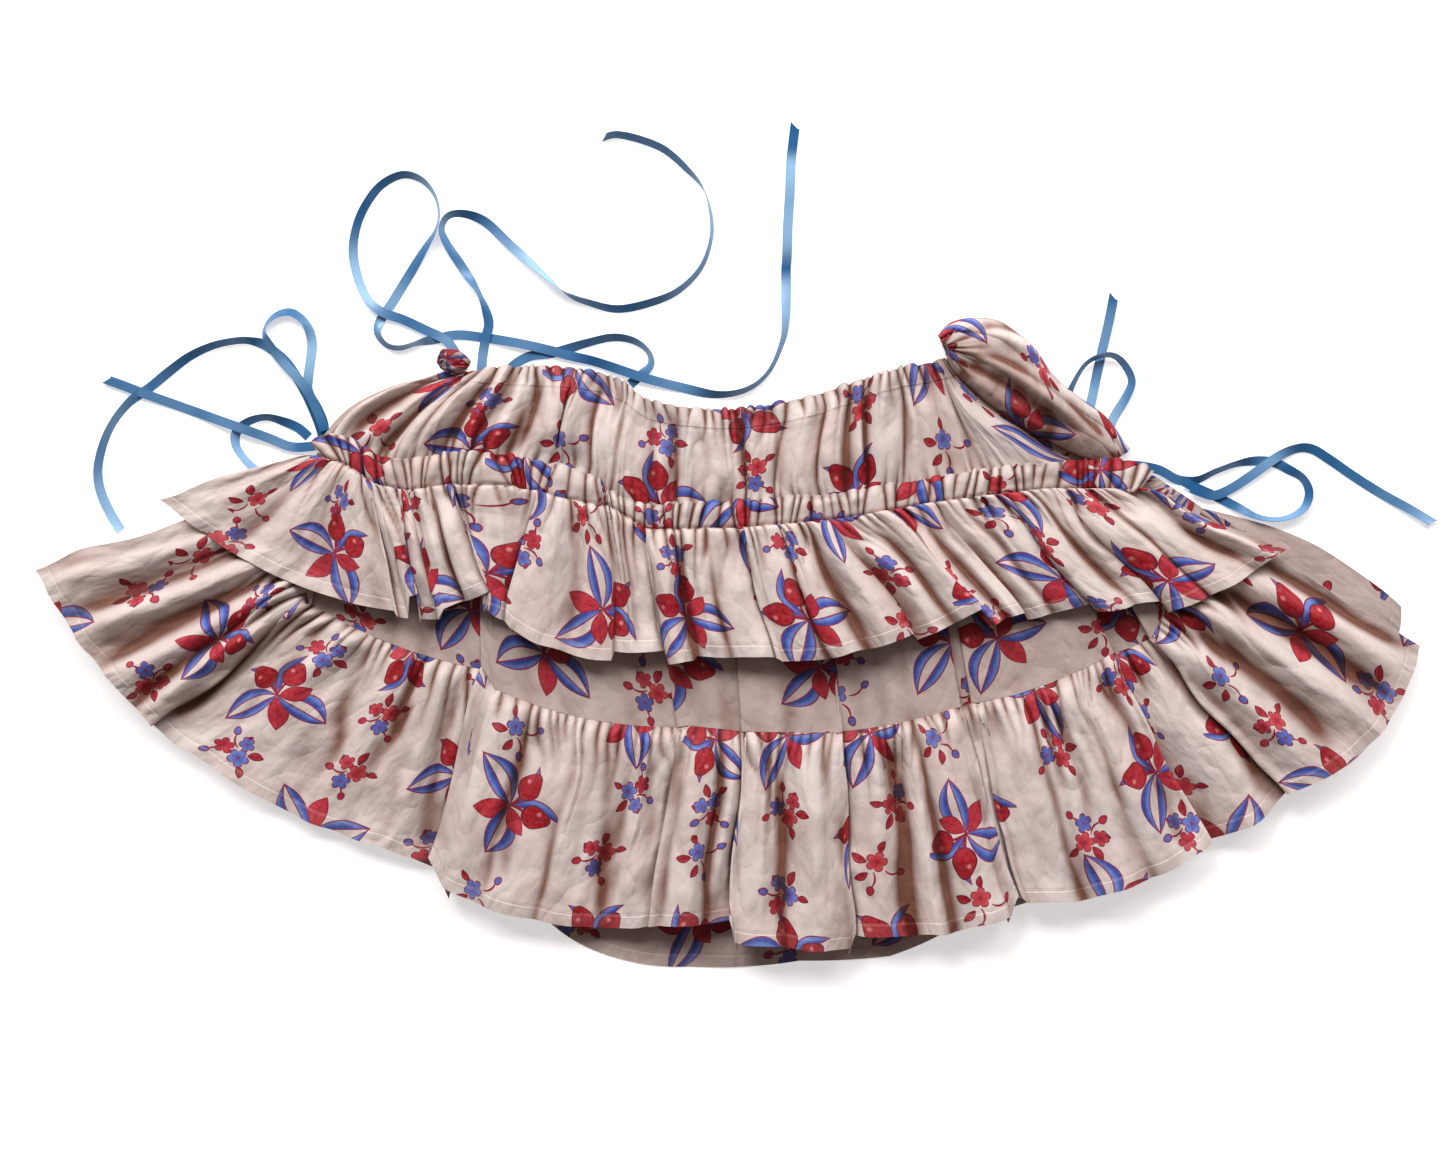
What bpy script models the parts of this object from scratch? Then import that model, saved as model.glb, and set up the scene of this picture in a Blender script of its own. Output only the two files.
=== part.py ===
"""Tiered mini skirt laid flat: gathered upper tier, plain band, flounce and a ruffle, tied with satin ribbons.

The skirt lies face up. Seen from above, +X runs to the right and +Y up the skirt to its waist, and +Z is up.
Tables are in millimetres and the model is in metres. The origin is on the floor, under the middle of the cloth.
"""

import math
import random
from collections import namedtuple

import bmesh
import bpy
from mathutils import Vector
from mathutils.bvhtree import BVHTree

MM = 0.001

# Driving sizes, in millimetres
CLOTH = 1.0
SEAM_GAP = 0.8
RUFFLE_SEAM_GAP = 1.2
LAYER_GAP = 0.4
RIBBON_WIDTH = 6.35
RIBBON_THICKNESS = 0.8
RIBBON_RING_SPACING = 12.0
RIBBON_LEVEL = 1.4
RIBBON_UNDERSIDE = 0.1
KNOT_SIZE = (20.0, 11.0, 8.0)
KNOT_PLACE = (-182.5, 188.0)

# Shares of the knot's size: where its flat base cuts it, and how far its crumples go in and out
KNOT_BASE = 0.44
KNOT_CRUMPLE = 0.14

# Points across each fold, how uneven the folds are as a share of their width and height, and their seed
FOLD_STEPS = 5
UNEVEN_WIDTH = 0.22
UNEVEN_HEIGHT = 0.45
FOLD_SEED = 7

# Where a layer feels for the cloth under it: to each side in millimetres, and shares of the way to its next point
PROBE_REACH = 2.2
PROBE_SHARES = (0.0, 0.25, 0.5)

CREAM = (0.80, 0.69, 0.60)
RIBBON_BLUE = (0.13, 0.32, 0.58)

# A section runs from a panel's upper edge (top) to its lower edge (low).
# bow pushes its middle to the left of its way down, level is how far its overlap stands up.
# folds is how many folds lie between it and the next section, where 0 is the riser of an overlap.
# top_sag and low_sag swell the edges outwards between the two.
Section = namedtuple("Section", "top_x top_y low_x low_y bow level folds top_sag low_sag", defaults=(0, 0))

# A seam section serves the band above the seam and the flounce below it.
Seam = namedtuple(
    "Seam",
    "line_x line_y seam_x seam_y hem_x hem_y level folds seam_sag hem_sag hem_bow",
    defaults=(0, 0, 0),
)

# A row is a line across a panel: its share of the way down, the cloth's height there,
# how high the folds stand and what share of an overlap's level shows.
Row = namedtuple("Row", "share height fold overlap")

# A ribbon's route: place, how many ribbons it lies over, and how far it is turned on edge, in degrees.
Stop = namedtuple("Stop", "x y over turn", defaults=(0, 0))

UPPER_TIER = [
    Section(-188, 180, -273, 132, -9, 0, 3),
    Section(-172, 181, -228, 118, -4, 0.5, 3),
    Section(-152, 184, -185, 120, -2, 1, 3),
    Section(-122, 185, -142, 118, 0, 0, 3),
    Section(-85, 181, -92, 107, 0, 1, 2),
    Section(-66, 173, -77, 95, 0, 1, 2, 1),
    Section(-52, 162, -48, 85, 0, 0, 5, 2, 1),
    Section(8, 156, 12, 88, 0, 0, 6, 2, -1),
    Section(78, 172, 78, 94, 0, 0.5, 4),
    Section(116, 184, 117, 102, 0, 0, 2),
    Section(139, 188, 172, 108, -2, 0, 2),
    Section(143, 190, 246, 114, -8, 0, 0),
]

UPPER_TIER_ROWS = [
    Row(0.0, 1.8, 3.2, 0.2),
    Row(0.16, 2.4, 3.2, 0.4),
    Row(0.55, 4.8, 6.0, 1.0),
    Row(1.0, 3.0, 1.4, 0.5),
]

# The full cloth past the end of the waist casing, cut across from its outer edge to the edge that lies on the tier.
Cut = namedtuple("Cut", "out_x out_y in_x in_y swell fold")

SIDE_FOLD = [
    Cut(140, 204, 145, 191, 3, 2.6),
    Cut(149, 213, 150, 180, 6, 4.2),
    Cut(165, 216, 160, 170, 9, 4.4),
    Cut(183, 213, 176, 156, 12, 3.2),
    Cut(202, 198, 194, 143, 13, 2.2),
    Cut(217, 178, 212, 134, 12, 1.6),
    Cut(233, 164, 228, 126, 9, 1.6),
    Cut(252, 150, 242, 120, 6, 2.2),
    Cut(268, 128, 250, 117, 2, 2.4),
]
SIDE_FOLD_WAVES = 5
SIDE_FOLD_STEPS = 6
SIDE_FOLD_OUTER_HEIGHT = 1.8
SIDE_FOLD_INNER_HEIGHT = 5.2
SIDE_FOLD_FULLNESS = 0.7

SEAM = [
    Seam(-272, 127, -288, 108, -458, 48, 1, 5, 0, 4),
    Seam(-262, 120, -279, 30, -384, -50, 4, 0),
    Seam(-261, 119, -277, 26, -381, -54, 0, 8, 6, 12),
    Seam(-164, 112, -162, -18, -196, -145, 0, 0),
    Seam(-156, 111, -154, -31, -188, -162, 3, 8, 7, 10),
    Seam(-54, 84, -32, -56, -51, -187, 1, 0),
    Seam(-49, 83, -26, -55, -45, -186, 4, 3),
    Seam(2, 80, 10, -59, 2, -184, 2, 0),
    Seam(4, 80, 12, -59, 5, -197, 5, 4, 0, 1),
    Seam(60, 82, 74, -60, 81, -202, 4, 0),
    Seam(62, 82, 76, -59, 84, -193, 2, 5, 2, 5),
    Seam(126, 92, 149, -44, 187, -180, 4, 0),
    Seam(131, 93, 154, -43, 191, -169, 0, 1),
    Seam(139, 95, 163, -40, 195, -168, 0, 0),
    Seam(141, 95, 166, -40, 198, -171, 3, 6, 4, 10),
    Seam(205, 104, 254, -8, 315, -135, 4, 0),
    Seam(207, 105, 256, -7, 318, -130, 0, 2, 1, 5),
    Seam(225, 107, 281, 3, 370, -99, 0, 0),
    Seam(227, 107, 283, 6, 375, -97, 4, 5, 3, 17),
    Seam(282, 112, 315, 90, 459, -2, 1, 0),
]

BAND_ROWS = [
    Row(0.0, 3.0, 0.4, 0.3),
    Row(1.0, 2.8, 0.5, 0.6),
]

FLOUNCE_ROWS = [
    Row(0.0, 2.8, 1.0, 0.6),
    Row(0.1, 2.7, 3.2, 0.7),
    Row(0.5, 2.1, 5.0, 0.9),
    Row(1.0, 1.7, 7.0, 1.0),
]

RUFFLE = [
    Section(-273, 126.5, -375, 95, 0, 1, 5, -4, 12),
    Section(-237, 112, -218, 22, 0, 2, 0),
    Section(-235, 111, -216, 18, 0, 0, 3),
    Section(-212, 107, -192, 18, 0, 0, 0),
    Section(-211, 107, -190, 20, 0, 4, 3),
    Section(-184, 111, -161, 29, 0, 3, 0),
    Section(-182, 111, -158, 22, 0, 0, 2),
    Section(-124, 107, -146, 14, 0, 0, 0),
    Section(-120, 105, -143, 10, 3, 4, 4, 1, 5),
    Section(-80, 94, -77, -11, 0, 3, 0),
    Section(-78, 93, -75, -5, 0, 2, 2),
    Section(-53, 80, -41, -6, 0, 2, 0),
    Section(-52, 79, -39, -13, 0, 4, 2),
    Section(-37, 79, -22, -12, 0, 3, 0),
    Section(-36, 79, -20, -9, 0, 2, 4),
    Section(10, 82, 33, -10, 0, 1, 0),
    Section(12, 82, 36, -12, 0, 4, 5, 0, 4),
    Section(63, 86, 122, 6, 0, 3, 0),
    Section(65, 86, 125, 2, 0, 2, 4),
    Section(102, 92, 171, 24, 0, 3, 0),
    Section(104, 93, 174, 12, 0, 1, 3),
    Section(132, 98, 196, 20, 0, 1, 0),
    Section(134, 98, 198, 16, 0, 0, 3),
    Section(172, 103, 242, 26, 0, 0, 0),
    Section(174, 103, 244, 21, 0, 3, 3),
    Section(212, 107, 288, 28, 0, 2, 0),
    Section(214, 107, 291, 20, 0, 3, 5, 0, 3),
    Section(274, 104, 369, 62, 0, 1, 0),
]

RUFFLE_ROWS = [
    Row(0.0, 6.0, 2.4, 0.4),
    Row(0.16, 6.4, 4.6, 0.7),
    Row(0.55, 6.8, 7.0, 1.0),
    Row(1.0, 6.6, 8.0, 1.0),
]

CASING = [
    Section(-277, 134, -272, 127, 0, 0, 2),
    Section(-265, 140, -258, 126, 0, 0, 3),
    Section(-251, 137, -250, 123, 0, 0, 2),
    Section(-232, 125, -233, 111.5, 0, 0, 2),
    Section(-212, 122, -213, 107.5, 0, 0, 3),
    Section(-181, 127, -183, 112, 0, 0, 3),
    Section(-142, 125.5, -141, 111, 0, 0.6, 0),
    Section(-139, 123, -138, 108, 0, 0, 2),
    Section(-115, 119, -118, 105.5, 0, 0, 0),
    Section(-112, 120, -115, 104.5, 0, 2.5, 3),
    Section(-83, 109, -85, 97, 0, 2.5, 0),
    Section(-80, 102, -80, 95, 0, 0, 3, 1, 0),
    Section(-52, 92, -52, 80.5, 0, 0, 7),
    Section(11, 95, 10, 82.5, 0, 0, 6),
    Section(75, 100, 74, 87.5, 0, 0, 8),
    Section(155, 113.5, 156, 101.5, 0, 0, 5),
    Section(208, 120, 209, 107.5, 0, 0, 3),
    Section(255, 123, 255, 108.5, 0, 0.5, 2),
    Section(270, 121, 266, 106.5, 0, 0, 2),
    Section(283, 114.5, 275, 104.5, 0, 0, 0),
]

CASING_ROWS = [
    Row(0.0, 6.2, 3.4, 1.0),
    Row(0.45, 6.4, 4.0, 1.0),
    Row(1.0, 6.0, 2.4, 0.4),
]
CASING_STEPS = 3

# The back panels lie flat under the front ones, a little inside their outline except where they show.
BACK_TIER = [
    Section(-178, 174, -262, 126, -7, 0, 1),
    Section(-122, 178, -142, 118, 0, 0, 1),
    Section(-85, 174, -92, 107, 0, 0, 1),
    Section(-50, 155, -48, 85, 0, 0, 1),
    Section(8, 149, 12, 88, 0, 0, 1),
    Section(78, 165, 78, 94, 0, 0, 1),
    Section(140, 184, 150, 106, 0, 0, 1),
    Section(160, 202, 205, 112, 3, 0, 1),
    Section(176, 196, 252, 112, 4, 0, 0),
]

BACK_SEAM = [
    Seam(-262, 126, -278, 96, -446, 40, 0, 3, 0, 6),
    Seam(-230, 116, -262, 20, -374, -46, 0, 4, 4, 8),
    Seam(-142, 110, -157, -32, -190, -152, 0, 3, 4, 5),
    Seam(-80, 96, -80, -58, -118, -187, 0, 2, 0, 2),
    Seam(-48, 84, -30, -62, -84, -207, 0, 3, 0, 3),
    Seam(12, 84, 14, -64, -25, -216, 0, 3, 0, 2),
    Seam(40, 84, 50, -64, 48, -212, 0, 2, 0, 1),
    Seam(78, 90, 90, -60, 108, -209, 0, 3, 0, 2),
    Seam(112, 96, 150, -48, 160, -184, 0, 4, 0, 5),
    Seam(205, 104, 254, -14, 310, -128, 0, 4, 4, 14),
    Seam(250, 106, 280, 50, 430, -20, 0, 3, 0, 6, 4),
    Seam(268, 106, 298, 92, 449, 24, 0, 0, 0, 0, 13),
]

BACK_RUFFLE = [
    Section(-262, 124, -350, 84, 0, 0, 4, 0, 10),
    Section(-142, 108, -146, 20, 0, 0, 4, 2, 4),
    Section(-48, 82, -44, 2, 0, 0, 4, 0, 2),
    Section(78, 90, 86, 2, 0, 0, 4, 1, 4),
    Section(205, 102, 268, 34, 0, 0, 4, 1, 6),
    Section(262, 108, 350, 62, 0, 0, 0),
]

BACK_RUFFLE_ROWS = [Row(0.0, 0.0, 0, 0), Row(0.5, 0.0, 0, 0), Row(1.0, 0.0, 0, 0)]
BACK_TIER_ROWS = [Row(0.0, 0.0, 0, 0), Row(0.5, 0.0, 0, 0), Row(0.85, 0.6, 0, 0), Row(1.0, 1.5, 0, 0)]
BACK_BAND_ROWS = [Row(0.0, 1.5, 0, 0), Row(1.0, 1.5, 0, 0)]
BACK_FLOUNCE_ROWS = [Row(0.0, 1.5, 0, 0), Row(0.45, 1.5, 0, 0), Row(0.75, 0.0, 0, 0), Row(1.0, 0.0, 0, 0)]
BACK_STEPS = 1

RIBBONS = {
    "ribbon_waist_long": [
        Stop(-182, 196, 1), Stop(-187, 201, 1), Stop(-201, 208, 1), Stop(-216, 215, 1), Stop(-230, 220, 1),
        Stop(-239, 228), Stop(-245, 240), Stop(-249, 257), Stop(-248, 272, 0, 25), Stop(-243, 287, 0, 35),
        Stop(-233, 302, 0, 35), Stop(-221, 310, 0, 25), Stop(-211, 311), Stop(-201, 306), Stop(-194, 296),
        Stop(-192, 285), Stop(-194, 275), Stop(-201, 263), Stop(-212, 245), Stop(-223, 227), Stop(-231, 215),
        Stop(-233, 206), Stop(-227, 198, 0, 30), Stop(-218, 196, 0, 30), Stop(-207, 199), Stop(-195, 202),
        Stop(-180, 205), Stop(-161, 203, 0), Stop(-138, 199, 1), Stop(-120, 195, 1), Stop(-105, 191, 1),
        Stop(-88, 187, 0.6), Stop(-67, 180, 1.4), Stop(-55, 176, 1.4), Stop(-31, 170), Stop(-6, 165),
        Stop(14, 169, 0, 30), Stop(28, 181, 0, 40), Stop(37, 202, 0, 30), Stop(39, 224), Stop(39, 247),
        Stop(40, 276), Stop(42, 319), Stop(45, 344),
    ],
    "ribbon_waist_short": [
        Stop(-164, 181), Stop(-163, 192), Stop(-161, 203, 1), Stop(-159, 214, 0.6), Stop(-165, 232),
        Stop(-176, 249), Stop(-187, 266, 0.5), Stop(-190, 276, 1), Stop(-185, 284, 1), Stop(-174, 285, 0.5),
        Stop(-161, 280), Stop(-146, 266), Stop(-129, 251), Stop(-110, 234, 0, 20), Stop(-95, 227, 0, 35),
        Stop(-74, 222, 0, 45), Stop(-52, 226, 0, 45), Stop(-33, 234, 0, 50), Stop(-18, 249, 0, 55),
        Stop(-11, 268, 0, 55), Stop(-11, 285, 0, 50), Stop(-16, 302, 0, 45), Stop(-27, 315, 0, 40),
        Stop(-42, 328, 0, 30), Stop(-59, 335, 0, 20), Stop(-74, 338), Stop(-82, 336),
    ],
    "ribbon_waist_loop": [
        Stop(-148, 179), Stop(-141, 186), Stop(-131, 191), Stop(-116, 193), Stop(-95, 199), Stop(-77, 203),
        Stop(-63, 201, 0, 20), Stop(-53, 194, 0, 35), Stop(-51, 185, 0, 20), Stop(-58, 178), Stop(-65, 172),
    ],
    "ribbon_left_loop": [
        Stop(-268, 136, 1), Stop(-269, 146, 1), Stop(-273, 156, 1), Stop(-279, 167, 1), Stop(-279, 176, 1),
        Stop(-277, 192), Stop(-277, 202), Stop(-282, 214, 0, 20), Stop(-291, 220, 0, 40),
        Stop(-302, 217, 0, 30), Stop(-308, 208, 1), Stop(-305, 199, 2), Stop(-296, 187, 2),
        Stop(-285, 175, 2.4), Stop(-277, 163, 2.6), Stop(-271, 150, 2.6), Stop(-268, 141, 2.6),
    ],
    "ribbon_left_long": [
        Stop(-270, 138), Stop(-273, 148), Stop(-282, 168), Stop(-294, 187), Stop(-308, 198, 0, 20),
        Stop(-325, 201, 0, 40), Stop(-341, 198, 0, 30), Stop(-357, 191, 0, 20), Stop(-371, 181), Stop(-385, 170),
        Stop(-398, 160), Stop(-409, 146), Stop(-416, 130), Stop(-419, 114), Stop(-417, 100), Stop(-411, 86),
        Stop(-404, 75),
    ],
    "ribbon_left_end": [
        Stop(-274, 131, 1.2), Stop(-285, 130, 1.2), Stop(-293, 131, 1.2), Stop(-305, 136, 1.2), Stop(-319, 141, 1.4),
        Stop(-333, 146, 1.2), Stop(-347, 151), Stop(-361, 156), Stop(-375, 161, 0.4), Stop(-389, 166, 1),
        Stop(-402, 171, 1), Stop(-413, 175, 0.8),
    ],
    "ribbon_left_curl": [
        Stop(-279, 137), Stop(-286, 143), Stop(-295, 147), Stop(-307, 150, 0, 20), Stop(-319, 147),
        Stop(-327, 140), Stop(-327, 131, 0, 20), Stop(-321, 122, 0, 20), Stop(-313, 114), Stop(-308, 108),
    ],
    "ribbon_right_end": [
        Stop(240, 150), Stop(243, 164), Stop(246, 178), Stop(250, 196), Stop(254, 214), Stop(257, 230),
    ],
    "ribbon_right_curl": [
        Stop(226, 160), Stop(229, 170), Stop(237, 184, 0.6), Stop(246, 190, 1, 30), Stop(256, 191, 0.8, 40),
        Stop(264, 185, 0, 40), Stop(269, 174, 0, 20), Stop(265, 163), Stop(258, 151), Stop(254, 142),
    ],
    "ribbon_right_loop": [
        Stop(267, 118, 3.2), Stop(277, 117, 3.2), Stop(288, 114.5, 1.8), Stop(300, 108.5, 0.1),
        Stop(312, 108, 0, 15), Stop(325, 114, 0, 30),
        Stop(339, 119, 0, 30), Stop(352, 121, 0, 10), Stop(364, 120), Stop(374, 115), Stop(383, 109, 0, 30),
        Stop(387, 100, 0, 30), Stop(384, 90, 0, 30), Stop(375, 84, 0, 40), Stop(364, 82, 0, 40),
        Stop(352, 84, 0, 25), Stop(338, 91), Stop(324, 98), Stop(312, 103, 1), Stop(304, 107, 1.2),
    ],
    "ribbon_right_long": [
        Stop(308, 103, 2.4), Stop(315, 100, 2.2), Stop(324, 98, 1.6), Stop(336, 103, 1.2), Stop(351, 113, 1.2),
        Stop(365, 123, 1.2), Stop(378, 129, 0.4), Stop(389, 129), Stop(401, 122), Stop(417, 111), Stop(436, 99),
        Stop(454, 89), Stop(469, 80),
    ],
}


def lerp(a, b, share):
    return a + (b - a) * share


def smooth(share):
    return share * share * (3 - 2 * share)


def swollen(start, end, sag, share):
    """A point between two edge points, pushed to the right of the way from one to the other."""
    dx = end[0] - start[0]
    dy = end[1] - start[1]
    span = math.hypot(dx, dy) or 1.0
    push = sag * 4 * share * (1 - share)
    return (lerp(start[0], end[0], share) + push * dy / span, lerp(start[1], end[1], share) - push * dx / span)


def fold_edges(count, chance):
    """Where each fold starts across a stretch, from 0 to 1, unevenly."""
    edges = [0.0]
    for number in range(1, count):
        edges.append((number + UNEVEN_WIDTH * (2 * chance.random() - 1)) / count)
    edges.append(1.0)
    return edges


def columns_across(sections, steps):
    """One column for each step of each fold: its section, mixed from its two neighbours, and its wave from 0 to 1."""
    chance = random.Random(FOLD_SEED)
    columns = []
    for left, right in zip(sections, sections[1:]):
        edges = fold_edges(max(left.folds, 1), chance)
        for start, end in zip(edges, edges[1:]):
            height = 1 - UNEVEN_HEIGHT * chance.random()
            count = steps if left.folds else 1
            for step in range(count):
                share = lerp(start, end, step / count)
                wave = height * (0.5 - 0.5 * math.cos(2 * math.pi * step / count))
                columns.append((mixed(left, right, share), wave))
    columns.append((sections[-1], 0.0))
    return columns


def mixed(left, right, share):
    top = swollen((left.top_x, left.top_y), (right.top_x, right.top_y), left.top_sag, share)
    low = swollen((left.low_x, left.low_y), (right.low_x, right.low_y), left.low_sag, share)
    bow = lerp(left.bow, right.bow, share)
    level = lerp(left.level, right.level, smooth(share))
    return Section(*top, *low, bow, level, 0)


def panel_points(sections, rows, steps, top_gap=0.0, low_gap=0.0):
    """Rows of points from the lower edge up, in millimetres, each from left to right, on the panel's underside."""
    grid = []
    columns = columns_across(sections, steps)
    for row in reversed(rows):
        line = []
        for section, wave in columns:
            dx = section.low_x - section.top_x
            dy = section.low_y - section.top_y
            length = math.hypot(dx, dy) or 1.0
            share = lerp(top_gap / length, 1 - low_gap / length, row.share)
            bow = section.bow * 4 * share * (1 - share)
            x = section.top_x + dx * share - bow * dy / length
            y = section.top_y + dy * share + bow * dx / length
            line.append(Vector((x, y, row.height + row.fold * wave + row.overlap * section.level)))
        grid.append(line)
    return grid


def side_fold_points():
    """The bunched side: long folds that start at the casing's end and run on to the ruffle's header."""
    count = SIDE_FOLD_WAVES * SIDE_FOLD_STEPS
    grid = []
    for step in range(count, -1, -1):
        across = step / count
        line = []
        for cut in SIDE_FOLD:
            x = lerp(cut.out_x, cut.in_x, across)
            y = lerp(cut.out_y, cut.in_y, across)
            rise = lerp(SIDE_FOLD_OUTER_HEIGHT, SIDE_FOLD_INNER_HEIGHT, smooth(across))
            round_up = math.sin(math.pi * across) ** SIDE_FOLD_FULLNESS
            wave = 0.5 - 0.5 * math.cos(2 * math.pi * SIDE_FOLD_WAVES * across)
            line.append(Vector((x, y, rise + cut.swell * round_up + cut.fold * wave)))
        grid.append(line)
    return grid


def as_tree(pieces):
    graph = bpy.context.evaluated_depsgraph_get()
    graph.update()
    return [BVHTree.FromObject(piece, graph) for piece in pieces]


def height_under(trees, x, y):
    """The highest cloth over this place, in millimetres, or 0 on the floor."""
    above = Vector((x * MM, y * MM, 1.0))
    highest = 0.0
    for tree in trees:
        place = tree.ray_cast(above, Vector((0, 0, -1)))[0]
        if place is not None:
            highest = max(highest, place.z / MM)
    return highest


def ways_to_neighbours(grid, r, c):
    """The way from a grid point to each of its neighbours in its row and column."""
    ways = []
    for dr, dc in ((1, 0), (-1, 0), (0, 1), (0, -1)):
        if 0 <= r + dr < len(grid) and 0 <= c + dc < len(grid[0]):
            ways.append(grid[r + dr][c + dc] - grid[r][c])
    return ways


def height_needed(trees, grid, r, c):
    """The highest cloth under a grid point and under the first half of the way to its neighbours."""
    point = grid[r][c]
    highest = 0.0
    for way in ways_to_neighbours(grid, r, c):
        for share in PROBE_SHARES:
            place = point + way * share
            for side in (-PROBE_REACH, 0.0, PROBE_REACH):
                highest = max(highest, height_under(trees, place.x + side, place.y))
    return highest


def laid_over(grid, pieces):
    """Lifts each point that would touch the cloth under it or under the way to its neighbours."""
    trees = as_tree(pieces)
    lifted = []
    for r, line in enumerate(grid):
        new_line = []
        for c, point in enumerate(line):
            clear = height_needed(trees, grid, r, c) + LAYER_GAP
            new_line.append(Vector((point.x, point.y, max(point.z, clear))))
        lifted.append(new_line)
    return lifted


def material(name, colour, roughness):
    made = bpy.data.materials.new(name)
    made.use_nodes = True
    shader = made.node_tree.nodes["Principled BSDF"]
    shader.inputs["Base Color"].default_value = (*colour, 1.0)
    shader.inputs["Roughness"].default_value = roughness
    shader.inputs["Metallic"].default_value = 0.0
    made.diffuse_color = (*colour, 1.0)
    return made


def sheet(name, grid, thickness, offset, finish, skirt):
    """A grid of points, in millimetres, as a wall: the points are its underside where offset is 1."""
    rows = len(grid)
    columns = len(grid[0])
    work = bmesh.new()
    bmesh.ops.create_grid(work, x_segments=columns - 1, y_segments=rows - 1, size=1.0)
    corners = sorted(work.verts, key=lambda v: (round(v.co.y, 5), round(v.co.x, 5)))
    for number, vert in enumerate(corners):
        vert.co = grid[number // columns][number % columns] * MM
    mesh = bpy.data.meshes.new(name)
    work.to_mesh(mesh)
    work.free()
    mesh.shade_smooth()
    mesh.materials.append(finish)
    piece = bpy.data.objects.new(name, mesh)
    bpy.data.collections["mini_skirt"].objects.link(piece)
    piece.parent = skirt
    wall = piece.modifiers.new("wall", "SOLIDIFY")
    wall.thickness = thickness * MM
    wall.offset = offset
    wall.use_rim = True
    return piece


def ribbon_points(stops):
    """The two edges of a ribbon along a smooth curve through its stops."""
    ends = [stops[0], *stops, stops[-1]]
    centre = []
    for before, start, end, after in zip(ends, ends[1:], ends[2:], ends[3:]):
        span = math.dist(start[:2], end[:2])
        count = max(1, round(span / RIBBON_RING_SPACING))
        for step in range(count):
            centre.append([curve_between(values, step / count) for values in zip(before, start, end, after)])
    centre.append(list(stops[-1]))
    left = []
    right = []
    for number, (x, y, over, turn) in enumerate(centre):
        ahead = centre[min(number + 1, len(centre) - 1)]
        behind = centre[max(number - 1, 0)]
        way = Vector((ahead[0] - behind[0], ahead[1] - behind[1], 0)).normalized()
        angle = math.radians(turn)
        side = Vector((-way.y * math.cos(angle), way.x * math.cos(angle), math.sin(angle))) * RIBBON_WIDTH / 2
        height = RIBBON_UNDERSIDE + RIBBON_THICKNESS / 2 * math.cos(angle) + abs(side.z) + RIBBON_LEVEL * over
        place = Vector((x, y, height))
        left.append(place - side)
        right.append(place + side)
    return [left, right]


def curve_between(values, share):
    before, start, end, after = values
    return 0.5 * (
        2 * start
        + (end - before) * share
        + (2 * before - 5 * start + 4 * end - after) * share**2
        + (3 * start - before - 3 * end + after) * share**3
    )


def casing_knot(finish, skirt):
    """The crumpled end of the waist casing, a small rounded knot of cloth."""
    work = bmesh.new()
    bmesh.ops.create_uvsphere(work, u_segments=14, v_segments=8, radius=0.5)
    for vert in work.verts:
        turn = math.atan2(vert.co.y, vert.co.x)
        crumple = 1 + KNOT_CRUMPLE * math.sin(3 * turn + 0.6) * math.cos(4 * vert.co.z)
        vert.co.x *= KNOT_SIZE[0] * crumple * MM
        vert.co.y *= KNOT_SIZE[1] * MM
        vert.co.z = max(vert.co.z, -KNOT_BASE) * KNOT_SIZE[2] * MM
    mesh = bpy.data.meshes.new("waist_casing_end")
    work.to_mesh(mesh)
    work.free()
    mesh.shade_smooth()
    mesh.materials.append(finish)
    piece = bpy.data.objects.new("waist_casing_end", mesh)
    bpy.data.collections["mini_skirt"].objects.link(piece)
    piece.parent = skirt
    piece.location = (KNOT_PLACE[0] * MM, KNOT_PLACE[1] * MM, KNOT_BASE * KNOT_SIZE[2] * MM)
    return piece


def band_sections(seam):
    return [Section(*s[:4], 0, s.level, s.folds, 0, s.seam_sag) for s in seam]


def flounce_sections(seam):
    return [Section(*s[2:6], s.hem_bow, s.level, s.folds, s.seam_sag, s.hem_sag) for s in seam]


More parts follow.
